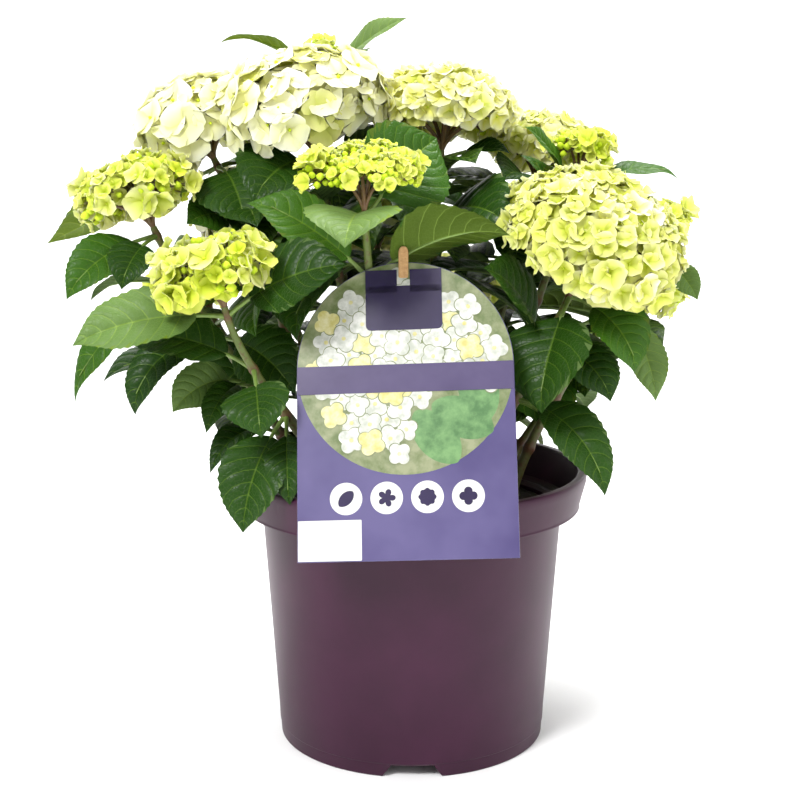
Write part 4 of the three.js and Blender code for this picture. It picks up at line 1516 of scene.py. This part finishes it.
@dataclass
class Canes:
    """Every cane in one piece: tapering, swollen at the nodes, with shallow ribs in the bark."""

    paths: dict[str, CanePath]
    foot: float = 3.4
    fork: float = 2.1
    flare: float = 0.6
    flare_height: float = 7.0
    swelling: float = 0.3
    swelling_reach: float = 2.8
    red_reach: float = 3.6
    lowest_node: float = 8.0
    step: float = 1.8
    sides: int = 16

    finish: StemFinish = StemFinish(
        "cane_bark", (0.105, 0.150, 0.022), (0.095, 0.095, 0.026), (0.110, 0.030, 0.014))

    def make(self) -> Piece:
        """Rings along each curve: radius tapers, flares at the soil, swells at nodes, and ribs.

        Returns:
            The piece.
        """
        surface = Surface(carries=("age", "joint"))
        angle = around(self.sides)
        for index, path in enumerate(self.paths.values()):
            distance = np.linspace(0, path.length, round(path.length / self.step))
            share = distance / path.length
            nodes = path.length - PAIR_FIRST - PAIR_SPACING * np.arange(9)
            away = np.abs(distance[:, None] - nodes[nodes > self.lowest_node]).min(1)
            radius = self.foot + (self.fork - self.foot) * share
            radius *= 1 + self.flare * np.clip(1 - distance / self.flare_height, 0, 1) ** 2
            radius *= 1 + self.swelling * np.exp(-((away / self.swelling_reach) ** 2))
            ribs = ripple((5 * angle + distance[:, None] / 30, index, 0.035),
                          (2 * angle + distance[:, None] / 9, 2.0 * index, 0.03))
            points, faces = tubes(path.at(distance)[None], (radius[:, None] * (1 + ribs))[None], self.sides)
            age = np.clip(1.15 - 1.3 * np.pad(share, 1, "edge"), 0, 1)
            joint = np.exp(-((np.pad(away, 1, "edge") / self.red_reach) ** 2))
            surface.add(points, faces, age=np.repeat(age[None, :, None], self.sides, 2),
                        joint=np.repeat(joint[None, :, None], self.sides, 2))
        names = [f"cane_{shoot.name}" for shoot in SHOOTS]
        return dress(surface.build("canes", [self.finish.material()]), "cane", *names)


# --- leaves


@dataclass(frozen=True)
class LeafColours:
    """Upper side, underside and veins of one tone of leaf."""

    top: Colour
    top_second: Colour
    under: Colour
    under_second: Colour
    vein: Colour
    under_vein: Colour
    gloss: float


LEAF_COLOURS = {
    Tone.DEEP: LeafColours((0.010, 0.038, 0.003), (0.020, 0.062, 0.005), (0.065, 0.115, 0.030),
                           (0.090, 0.150, 0.040), (0.105, 0.190, 0.016), (0.150, 0.220, 0.060), 0.36),
    Tone.MID: LeafColours((0.024, 0.082, 0.005), (0.044, 0.122, 0.008), (0.060, 0.105, 0.008),
                          (0.095, 0.150, 0.014), (0.150, 0.260, 0.020), (0.190, 0.280, 0.050), 0.38),
    # The pale tone's upper side is greyed: a painted sheen over the yellow-green of a young leaf.
    Tone.FRESH: LeafColours((0.092, 0.170, 0.036), (0.140, 0.225, 0.062), (0.110, 0.180, 0.014),
                            (0.150, 0.225, 0.022), (0.230, 0.340, 0.045), (0.240, 0.320, 0.040), 0.42),
}


@dataclass(frozen=True)
class BladeGrid:
    """How finely a blade is divided: steps between side veins, the tooth at each, and half a row."""

    steps: tuple[float, ...]
    teeth: tuple[float, ...]
    half_row: tuple[float, ...]


FINE_GRID = BladeGrid((0.0, 0.05, 0.27, 0.5, 0.73, 0.95), (1.0, 0.8, -1.0, 0.9, -1.0, 0.6),
                      (0.04, 0.28, 0.54, 0.8, 1.0))
PLAIN_GRID = BladeGrid((0.0, 0.08, 0.5), (1.0, -0.3, -0.8), (0.04, 0.5, 1.0))


@dataclass
class Foliage:
    """All leaves: ovate puckered blades with toothed edges on short stalks, one piece for a tone."""

    grown: list[tuple[Shoot, Leaf, LeafLine]]
    vein_pairs: int = 7
    pucker: float = 0.015
    tooth: float = 0.028
    wave: float = 0.022
    tip_curl: float = 0.05
    fold_spread: float = 5.0
    vein_sweep: float = 0.72
    thickness: float = 0.45
    ridge: float = 0.5
    stalk: float = 1.3
    spray_share: float = 0.85

    stalk_finish: PlainFinish = PlainFinish(
        "leaf_stalk", (0.170, 0.270, 0.050), (0.130, 0.200, 0.040), 0.45, 200.0, 700.0, 0.2, 0.0002)

    def width_at(self, x: Array) -> Array:
        """Half-width share of an ovate blade at x: x^0.7 (1 - x)^0.95, drawn in towards the tip.

        Args:
            x: places from stalk to tip, 0 to 1.

        Returns:
            Shares of the greatest half-width.
        """
        x = np.clip(x, 0, 1)
        drawn = 1 - 0.5 * np.clip((x - 0.7) / 0.3, 0, 1) ** 2
        return x**0.7 * (1 - x) ** 0.95 * drawn / 0.3247

    def blade(self, surface: Surface, line: LeafLine, tone: float, random: Random) -> None:
        """One blade. Rows run along the side veins, which sweep forward as they leave the midrib.

        The height over the midrib's line is a fold up from the midrib, plus a bulge between
        neighbouring veins (a sine across the gap), plus a slow wave that grows to the edge, less a
        curl at the tip. The underside is the same sheet set down, with ridges along its veins.

        Args:
            surface: the tone's piece.
            line: the midrib.
            tone: the leaf's place between its tone's two colours.
            random: numbers for the waves.
        """
        leaf, length = line.leaf, line.length()
        grid = FINE_GRID if leaf.fine else PLAIN_GRID
        gaps = self.vein_pairs + 1
        between = np.append(np.tile(grid.steps, gaps), 0.0)[:, None]
        u = np.append((np.arange(gaps)[:, None] + grid.steps).ravel() / gaps, 1.0)[:, None]
        half_row = np.array(grid.half_row)
        v = np.concatenate([-half_row[::-1], [0.0], half_row])[None]
        reach = np.abs(v)
        stalk, half = PETIOLE / length, leaf.span * leaf.width / 2
        sweep = self.vein_sweep * half / (length * (1 - stalk)) * self.width_at(u)
        x = np.clip(u + sweep * (0.5 * reach + 0.5 * reach**2.2), 0, 1)
        width = self.width_at(x)
        tooth = np.append(np.tile(grid.teeth, gaps), 0.0)[:, None]
        toothed = (reach > 0.99) & (u > 0.08) & (u < 0.97)
        wide = half * width * v * (1 + np.where(toothed, self.tooth * tooth, 0))
        fold = math.radians(FOLD + random.uniform(-self.fold_spread, self.fold_spread))
        height = np.abs(wide) * math.sin(fold) * (1.15 - 0.45 * reach)
        gap = np.sin(np.pi * between) ** 0.7
        height = height + self.pucker * leaf.span * gap * reach**0.4 * (1 - reach**3) * np.sqrt(width)
        phase = random.uniform(0, 6.28, 2)
        side_phase = np.where(v < 0, phase[0], phase[1])
        height = height + self.wave * leaf.span * np.sin(9.0 * x + side_phase) * reach**2 * width
        height = height - self.tip_curl * random.uniform(0.2, 2.0) * leaf.span * x**6
        vein_row = (between < 0.01) & (u > 0.01) & (u < 0.99)
        vein = np.where(reach < 0.01, 1.0, np.where(vein_row, 1 - 0.35 * reach**2, 0.0))
        body = (self.thickness / 2) * (1 - reach**6) * np.sqrt(width)
        ridge = self.ridge * vein * (1 - x) * np.where(reach < 0.01, 1.2, 0.5) * (1 - reach**2)
        ridge = ridge * np.sqrt(width)
        point, side, up = line.frame(stalk + (1 - stalk) * x)
        flat = point + side * (wide * math.cos(fold))[..., None]
        place = np.stack([x * length / 100, wide / 100], -1)
        faces = grid_faces(len(u), v.size)
        sheets = ((height + body, faces), (height - body - ridge, faces[:, ::-1]))
        for finish, (level, outward) in enumerate(sheets):
            surface.add(flat + up * level[..., None], outward, finish, place, vein=vein, tone=tone)

    def stem(self, surface: Surface, line: LeafLine) -> None:
        """The stalk, from inside the cane, and the midrib that it runs on as under the blade.

        Args:
            surface: the tone's piece.
            line: the midrib.
        """
        length = line.length()
        stalk = PETIOLE / length
        share = np.concatenate([np.linspace(0, stalk, 8), stalk + (1 - stalk) * np.linspace(0.05, 0.8, 12)])
        point, _, up = line.frame(share)
        past = np.clip((share - stalk) / (1 - stalk), 0, 1)
        base = self.stalk + 0.9 * np.clip(1 - share / stalk, 0, 1) ** 3
        radius = np.where(past > 0, 0.95 * (1 - past) ** 1.2 + 0.12, base)
        drop = np.where(past > 0, 0.55 * radius + self.thickness / 2, 0.3)
        points, faces = tubes((point - up * drop[:, None])[None], radius[None], 7)
        surface.add(points, faces, 2)

    def make(self) -> list[Piece]:
        """One piece for each tone. A spray's own tone is drawn once; some leaves step from it.

        Returns:
            The three pieces.
        """
        random = np.random.default_rng(31)
        spray = {shoot.name: random.choice([Tone.DEEP, Tone.DEEP, Tone.MID]) for shoot in SHOOTS}
        surfaces = {tone: Surface(carries=("vein", "tone"), mapped=True) for tone in Tone}
        for shoot, leaf, line in self.grown:
            tone = leaf.tone or (spray[shoot.name] if random.random() < self.spray_share else Tone.MID)
            self.blade(surfaces[tone], line, random.random(), random)
            self.stem(surfaces[tone], line)
        made = []
        for tone, surface in surfaces.items():
            colours = LEAF_COLOURS[tone]
            top = BladeFinish(f"leaf_{tone.value}", colours.top, colours.top_second, colours.vein,
                              colours.gloss, 0.6, 0.0007)
            under = BladeFinish(f"leaf_{tone.value}_under", colours.under, colours.under_second,
                                colours.under_vein, 0.62, 0.85, 0.0004)
            materials = [top.material(), under.material(), self.stalk_finish.material()]
            piece = surface.build(f"foliage_{tone.value}", materials, 60)
            made.append(dress(piece, "foliage", *[f"shoot_{shoot.name}" for shoot in SHOOTS]))
        return made


# --- flower heads


class Petal(Enum):
    """Pieces that the sepals are dealt to, by colour."""

    WHITE = "white"
    CREAM = "cream"
    LIME = "lime"


@dataclass(frozen=True)
class HeadStyle:
    """How a kind of head is filled: floret radii, how closely, how cupped, its buds and clusters.

    Cover is floret area over dome area, round the dome's reach in degrees from its top, seat the
    share of the dome's size where florets stand, and clusters how many a head of usual size has.
    """

    radius: tuple[float, float]
    cover: float
    round: float
    lift: tuple[float, float]
    cup: tuple[float, float]
    curl: tuple[float, float]
    seat: float
    petal: Petal
    other: Petal
    other_share: float
    bud_share: float
    bud_radius: tuple[float, float]
    heart: float
    clusters: int
    cluster_radius: float

    @property
    def mean_radius(self) -> float:
        """Mean radius of what stands on the dome, florets and buds together."""
        floret, bud = sum(self.radius) / 2, sum(self.bud_radius) / 2
        return floret * (1 - self.bud_share) + bud * self.bud_share


STYLES = {
    Kind.WHITE: HeadStyle((12.5, 15.5), 2.0, 118, (0.08, 0.36), (0.08, 0.2), (0.0, 0.08), 0.88,
                          Petal.WHITE, Petal.CREAM, 0.15, 0.0, (2, 3), 0.6, 0, 0.0),
    Kind.CREAM: HeadStyle((7.6, 10.0), 2.1, 116, (0.45, 1.05), (0.18, 0.42), (0.0, 0.12), 0.9,
                          Petal.CREAM, Petal.WHITE, 0.05, 0.02, (2.2, 3.0), 1.0, 0, 0.0),
    Kind.LIME: HeadStyle((4.4, 6.6), 1.6, 96, (0.5, 1.2), (0.2, 0.45), (0.0, 0.1), 0.86,
                         Petal.LIME, Petal.CREAM, 0.3, 0.26, (2.0, 3.0), 1.0, 14, 10.5),
    Kind.BUD: HeadStyle((2.9, 4.3), 1.9, 72, (1.0, 1.8), (0.2, 0.5), (0.0, 0.0), 0.86,
                        Petal.LIME, Petal.LIME, 0.0, 0.5, (1.8, 2.5), 0.6, 14, 8.5),
}
# Share of florets that open in the style's other colour, where a shoot differs from its style.
PALER = {"upper_cream": 0.8, "back_cream": 0.6, "right_cream": 0.12, "left_lime": 0.5,
         "right_back": 0.1, "left_back": 0.1}


@dataclass
class Blossom:
    """All flower heads: sepals by colour, the eyes and buds, and the rays that carry them."""

    rays: int = 6
    ray_reach: float = 0.46
    ray_radius: tuple[float, float] = (1.25, 0.85)
    stalk_radius: tuple[float, float] = (0.7, 0.5)
    lumps: tuple[float, float] = (0.05, 0.045)
    sepal_length: tuple[float, float] = (0.88, 1.08)
    sepal_width: tuple[float, float] = (0.60, 0.72)
    sepal_body: float = 0.16
    twist: tuple[float, float] = (0.02, 0.12)
    eye: float = 0.085
    usual_head: float = 37.0
    inner_seat: float = 0.78
    inner_share: float = 0.35
    unrest: float = 0.14
    upward: float = 0.12
    edge: float = 0.68
    edge_share: float = 0.35
    edge_growth: float = 0.8

    finishes: dict[Petal, SepalFinish] = field(default_factory=lambda: {
        Petal.WHITE: SepalFinish("sepal_white", (0.99, 0.98, 0.84), (0.98, 0.97, 0.62), (0.84, 0.84, 0.05)),
        Petal.CREAM: SepalFinish("sepal_cream", (0.95, 0.92, 0.46), (0.91, 0.88, 0.24), (0.52, 0.61, 0.006)),
        Petal.LIME: SepalFinish("sepal_lime", (0.91, 0.92, 0.20), (0.77, 0.83, 0.07), (0.41, 0.53, 0.003)),
    })
    bud_finish: SepalFinish = SepalFinish(
        "bud_green", (0.60, 0.74, 0.06), (0.46, 0.61, 0.02), (0.34, 0.49, 0.008))
    ray_finish: StemFinish = StemFinish(
        "ray_bark", (0.22, 0.25, 0.06), (0.15, 0.065, 0.030), (0.13, 0.035, 0.018))

    def spots(self, shoot: Shoot, count: int, scale: float, random: Random) -> tuple[Array, Array]:
        """Points spread over a head's dome by the golden angle, and the dome's normals there.

        The dome is an ellipsoid whose reach swells and sinks by slow waves, so that it is lumpy.

        Args:
            shoot: whose head.
            count: how many points.
            scale: share of the dome's size.
            random: numbers for the lumps.

        Returns:
            Points and unit normals, each shape (count, 3).
        """
        style = STYLES[shoot.kind]
        index = np.arange(count)
        height = 1 - (index + 0.5) / count * (1 - math.cos(math.radians(style.round)))
        reach = np.sqrt(1 - height**2)
        angle = index * GOLDEN + random.uniform(-0.12, 0.12, count)
        x, y = reach * np.cos(angle), reach * np.sin(angle)
        phase = random.uniform(0, 6.28, 3)
        lumps = 1 + reach * ripple((2 * angle, phase[0], self.lumps[0]),
                                   (3 * angle + 3 * height, phase[1], self.lumps[1]))
        lumps = (lumps * random.uniform(0.92, 1.04, count))[:, None]
        local = np.stack([x, y, height], 1)
        frame_rows = turn_from_up(shoot.axis)
        points = (local * shoot.size * scale * lumps) @ frame_rows + np.array(shoot.centre)
        return points, unit(unit(local / shoot.size) @ frame_rows)

    def clustered(self, shoot: Shoot, count: int, scale: float, random: Random) -> tuple[Array, Array]:
        """Points on small domes that stand on the head's dome, one dome for each cluster.

        Args:
            shoot: whose head.
            count: how many points in all.
            scale: share of the dome's size where the clusters stand.
            random: numbers for the clusters.

        Returns:
            Points and unit normals, each shape (count, 3).
        """
        style = STYLES[shoot.kind]
        clusters = max(3, round(style.clusters * (shoot.half_width / self.usual_head) ** 2))
        bases, axes = self.spots(shoot, clusters, scale, random)
        index = np.arange(count)
        owner, member = index % clusters, index // clusters
        share = (member + random.uniform(0.2, 0.8, count)) / (count / clusters)
        height = np.clip(1 - 1.05 * share, -0.25, 1)
        reach = np.sqrt(1 - height**2)
        angle = member * GOLDEN + owner
        first, second = across(axes[owner])
        out = first * (reach * np.cos(angle))[:, None] + second * (reach * np.sin(angle))[:, None]
        out = out + axes[owner] * height[:, None]
        radius = style.cluster_radius * random.uniform(0.85, 1.1, clusters)[owner][:, None]
        return bases[owner] + (out - axes[owner] * 0.55) * radius, unit(out + 0.4 * axes[owner])

    def sepals(self, points: Array, normals: Array, radius: Array, style: HeadStyle, heart: float,
               random: Random) -> tuple[Array, Array, Array, Array]:
        """Four sepals round each floret's middle, each a closed cupped sheet.

        Along a from claw to tip and b from edge to edge: the half-width is a^0.75 (1 - a)^0.45,
        the height is a rise that eases off, plus a cup as b squared, less a curl as a to the
        fourth, plus a twist as a times b.

        Args:
            points: floret middles.
            normals: their axes.
            radius: their sizes.
            style: cups and lifts.
            heart: colour share of the heart at the claw.
            random: numbers for each sepal.

        Returns:
            Points (florets, 4, 2, rows, columns, 3), faces, heart and tone for each point.
        """
        florets = len(points)
        a = np.array([0.0, 0.3, 0.6, 0.86, 1.0])[:, None]
        b = np.array([-1.0, -0.4, 0.4, 1.0])[None]
        shape = (florets, 4, 1, 1)
        length = radius.reshape(-1, 1, 1, 1) * random.uniform(*self.sepal_length, shape)
        half = a**0.75 * (1 - a) ** 0.45 / 0.452  # 1 where the sepal is widest
        wide = length * random.uniform(*self.sepal_width, shape) * half * b
        along = length * a * (1 - 0.04 * b**2)
        lift = random.uniform(*style.lift, (florets, 1, 1, 1)) + random.uniform(-0.07, 0.07, shape)
        cup = random.uniform(*style.cup, shape)
        height = length * (lift * (a - 0.45 * a**2) - random.uniform(*style.curl, shape) * a**4)
        height = height + cup * wide**2 / length * 2.2 + random.uniform(*self.twist, shape) * wide * (0.4 + a)
        first, second = across(normals)
        angle = random.uniform(0, np.pi / 2, (florets, 1)) + around(4)
        angle = angle + random.uniform(-0.1, 0.1, (florets, 4))
        c, s = np.cos(angle)[..., None], np.sin(angle)[..., None]
        out = c * first[:, None] + s * second[:, None]
        level = -s * first[:, None] + c * second[:, None]
        body = self.sepal_body * (1 - b**2) * np.sin(np.pi * np.clip(a, 0, 1)) ** 0.5 * np.ones(shape)
        sheets = np.stack([height + body, height - body], 2)
        forward = out[:, :, None, None, None] * along[:, :, None, ..., None]
        sideways = level[:, :, None, None, None] * wide[:, :, None, ..., None]
        upward = normals[:, None, None, None, None] * sheets[..., None]
        placed = points[:, None, None, None, None] + forward + sideways + upward
        top = grid_faces(a.size, b.size)
        pair = np.concatenate([top[:, ::-1], top + a.size * b.size])
        faces = repeated(pair, florets * 4, 2 * a.size * b.size)
        warm = np.broadcast_to(heart * (1 - a) ** 0.65 * np.ones_like(b), placed.shape[:-1])
        tone = np.broadcast_to(random.random((florets, 1, 1, 1, 1)), placed.shape[:-1])
        return placed, faces, warm, tone

    def knobs(self, points: Array, normals: Array, radius: Array) -> tuple[Array, Array]:
        """Closed buds: balls with four soft lobes and a drawn-up tip, along each normal.

        Args:
            points: their middles.
            normals: their axes.
            radius: their sizes.

        Returns:
            Points (buds, points of a bud, 3) and faces.
        """
        body, faces = ball(8, 5)
        angle = np.arctan2(body[:, 1], body[:, 0])
        lobed = body * (1 + 0.1 * np.cos(4 * angle) * (1 - body[:, 2] ** 2))[:, None]
        lobed[:, 2] = np.where(body[:, 2] > 0, body[:, 2] * (1 + 0.3 * body[:, 2] ** 3), body[:, 2])
        first, second = across(normals)
        axes = np.stack([first, second, normals], 1)
        placed = points[:, None] + np.einsum("pk,nkd->npd", lobed, axes) * radius[:, None, None]
        return placed, repeated(faces, len(points), len(body))

    def carry(self, surface: Surface, shoot: Shoot, ends: Array, random: Random) -> None:
        """Rays from the fork to a few junctions inside the head, and from those to each floret.

        Args:
            surface: the piece.
            shoot: whose head.
            ends: where florets and buds are held, shape (n, 3).
            random: numbers for the junctions.
        """
        axis, size = shoot.axis, 0.75 + shoot.half_width / 90
        local, _ = self.spots(shoot, self.rays, self.ray_reach, random)
        joint = np.concatenate([local, [np.array(shoot.centre) + axis * 0.3 * shoot.half_height]])
        joint = joint - axis * 0.15 * shoot.half_height
        start = shoot.fork - axis * 3
        bend = start + axis * 0.35 * np.linalg.norm(joint - start, axis=1, keepdims=True)
        paths = curve(np.linspace(0, 1, 7)[:, None], start, bend[:, None], joint[:, None])
        radii = np.broadcast_to(np.linspace(*self.ray_radius, 7) * size, (len(joint), 7))
        surface.add(*tubes(paths, radii, 7), age=0.8, joint=0.15)
        begin = joint[np.linalg.norm(ends[:, None] - joint[None], axis=-1).argmin(1)]
        length = np.linalg.norm(ends - begin, axis=1, keepdims=True)
        bend = begin + (ends - begin) * 0.5 + axis * 0.08 * length
        paths = curve(np.linspace(0, 1, 4)[:, None], begin[:, None], bend[:, None], ends[:, None])
        radii = np.broadcast_to(np.linspace(*self.stalk_radius, 4) * size, (len(ends), 4))
        surface.add(*tubes(paths, radii, 4), age=0.45, joint=0.0)

    def shell(self, shoot: Shoot, inner: bool, petals: dict[Petal, Surface], buds: Surface,
              random: Random) -> Array:
        """Fills one shell of a head with florets and buds.

        Args:
            shoot: whose head.
            inner: whether this is the sparser shell behind the first.
            petals: the sepals' pieces.
            buds: the piece of eyes and buds.
            random: numbers for all that is dealt.

        Returns:
            Where the florets and buds are held, shape (n, 3).
        """
        style = STYLES[shoot.kind]
        each = math.pi * style.mean_radius**2 * 0.9
        count = round(style.cover * shoot.dome_area(style.round) / each)
        scale, heart = style.seat, style.heart
        # Behind the first shell the heart colour runs fully: partly the sepals' own green heart, partly
        # painted light for the yellow-green glow that light through the sepals gives the head's hollows.
        if inner:
            scale, count, heart = self.inner_seat * scale, round(self.inner_share * count), 1.0
        points, normals = (self.clustered if style.clusters else self.spots)(shoot, count, scale, random)
        normals = unit(normals + self.unrest * random.normal(size=normals.shape) + [0, 0, self.upward])
        is_bud = random.random(count) < style.bud_share
        other = random.random(count) < PALER.get(shoot.name, style.other_share)
        for petal, chosen in ((style.petal, ~is_bud & ~other), (style.other, ~is_bud & other)):
            if not chosen.any():
                continue
            at, axes = points[chosen], normals[chosen]
            radius = random.uniform(*style.radius, chosen.sum())
            if style.clusters:
                out = np.linalg.norm((at - shoot.centre)[:, :2], axis=1) / shoot.half_width
                grown = (out > self.edge) * (random.random(len(out)) < self.edge_share)
                radius = radius * (1 + self.edge_growth * grown)
            placed, faces, warm, tone = self.sepals(at, axes, radius, style, heart, random)
            petals[petal].add(placed, faces, heart=warm, tone=tone)
            buds.add(*self.knobs(at + axes * 0.6, axes, radius * self.eye), heart=0.0, tone=0.4)
        if is_bud.any():
            radius = random.uniform(*style.bud_radius, is_bud.sum())
            placed, faces = self.knobs(points[is_bud], normals[is_bud], radius)
            buds.add(placed, faces, heart=0.0, tone=random.random((len(placed), 1)))
        return points - normals * 0.8

    def make(self) -> list[Piece]:
        """Fills every head: an outer shell of florets and buds, and an inner one behind it.

        Returns:
            The five pieces.
        """
        petals = {petal: Surface(carries=("heart", "tone")) for petal in Petal}
        buds, rays = Surface(carries=("heart", "tone")), Surface(carries=("age", "joint"))
        for index, shoot in enumerate(SHOOTS):
            random = np.random.default_rng(500 + index)
            ends = [self.shell(shoot, inner, petals, buds, random) for inner in (False, True)]
            self.carry(rays, shoot, np.concatenate(ends), random)
        made = [(f"sepals_{petal.value}", surface, self.finishes[petal], f"floret_{petal.value}", 70)
                for petal, surface in petals.items()]
        made += [("buds_and_eyes", buds, self.bud_finish, "bud", 70),
                 ("head_rays", rays, self.ray_finish, "cane", 48)]
        shoots = [f"shoot_{shoot.name}" for shoot in SHOOTS]
        return [dress(surface.build(name, [finish.material()], crease), slot, *shoots)
                for name, surface, finish, slot, crease in made]


# --- studio


@dataclass
class Studio:
    """A pale floor that sweeps up behind, soft lights and the camera, in metres."""

    floor_size: float = 4.0
    wall_at: float = 0.9
    sweep: float = 0.8
    lens: float = 67.7
    camera_at: tuple[float, float, float] = (-0.00774, -0.96943, 0.4065)
    camera_down: float = 0.186
    world: float = 0.56
    aim: tuple[float, float, float] = (0.0, 0.0, 0.3)
    sensor: float = 36.0
    lights: tuple[tuple[str, tuple[float, float, float], float, float], ...] = (
        ("key", (-1.0, -1.6, 2.0), 0.7, 64.0),
        ("fill", (1.7, -1.3, 1.1), 1.4, 16.0),
        ("top", (0.3, 0.5, 2.3), 1.0, 60.0),
    )

    def floor(self) -> None:
        """Floor and wall in one sheet: level, then a quarter circle up into the wall behind."""
        bend = np.linspace(0, np.pi / 2, 24)
        wall = self.wall_at + self.sweep
        out = np.concatenate([[-self.floor_size], self.wall_at + self.sweep * np.sin(bend), [wall]])
        up = np.concatenate([[0.0], self.sweep * (1 - np.cos(bend)), [self.floor_size]])
        width = np.array([-self.floor_size, self.floor_size])
        points = np.stack(np.broadcast_arrays(width[None], out[:, None], up[:, None]), -1)
        mesh = bpy.data.meshes.new("floor")
        mesh.from_pydata(points.reshape(-1, 3).tolist(), [], grid_faces(len(out), 2).tolist())
        mesh.polygons.foreach_set("use_smooth", [True] * len(mesh.polygons))
        material, _ = blank_material("pale_floor", Base_Color=(0.93, 0.93, 0.93, 1.0), Roughness=0.8)
        mesh.materials.append(material)
        staged("floor", mesh)

    def light(self) -> None:
        """A world that is white where seen and dimmer as light, and square lamps that face the plant."""
        world = bpy.data.worlds.new("studio")
        world.use_nodes = True
        tree = world.node_tree
        background = tree.nodes["Background"]
        background.inputs["Color"].default_value = (1.0, 1.0, 1.0, 1.0)
        seen = add_node(tree, "ShaderNodeLightPath").outputs["Is Camera Ray"]
        tree.links.new(calculated(tree, "MAXIMUM", seen, self.world), background.inputs["Strength"])
        bpy.context.scene.world = world
        for name, at, size, power in self.lights:
            lamp = bpy.data.lights.new(name, "AREA")
            lamp.energy, lamp.size = power, size
            made = staged(name, lamp)
            aim = np.array(self.aim) - np.array(at)
            pitch = math.atan2(math.hypot(aim[0], aim[1]), -aim[2])
            made.location, made.rotation_euler = at, (pitch, 0, math.atan2(-aim[0], aim[1]))

    def camera(self) -> None:
        """The camera, a little above the pot's rim and looking slightly down."""
        data = bpy.data.cameras.new("camera")
        data.lens, data.sensor_width = self.lens, self.sensor
        made = staged("camera", data)
        made.location = self.camera_at
        made.rotation_euler = (math.pi / 2 - self.camera_down, 0, 0)
        bpy.context.scene.camera = made


def main() -> None:
    """Builds every sub-assembly in order and logs its pieces."""
    logging.basicConfig(level=logging.INFO, format="%(message)s")
    NurseryPot().make()
    PottingSoil().make()
    card = PictureCard()
    card.make()
    BambooPeg(card).make()
    feet = cane_feet()
    paths = {shoot.name: CanePath(shoot, foot) for shoot, foot in zip(SHOOTS, feet)}
    Canes(paths).make()
    Foliage(Growth(paths).grow()).make()
    Blossom().make()
    studio = Studio()
    studio.floor()
    studio.light()
    studio.camera()
    bpy.context.scene.view_settings.view_transform = "Standard"


if __name__ == "__main__":
    main()
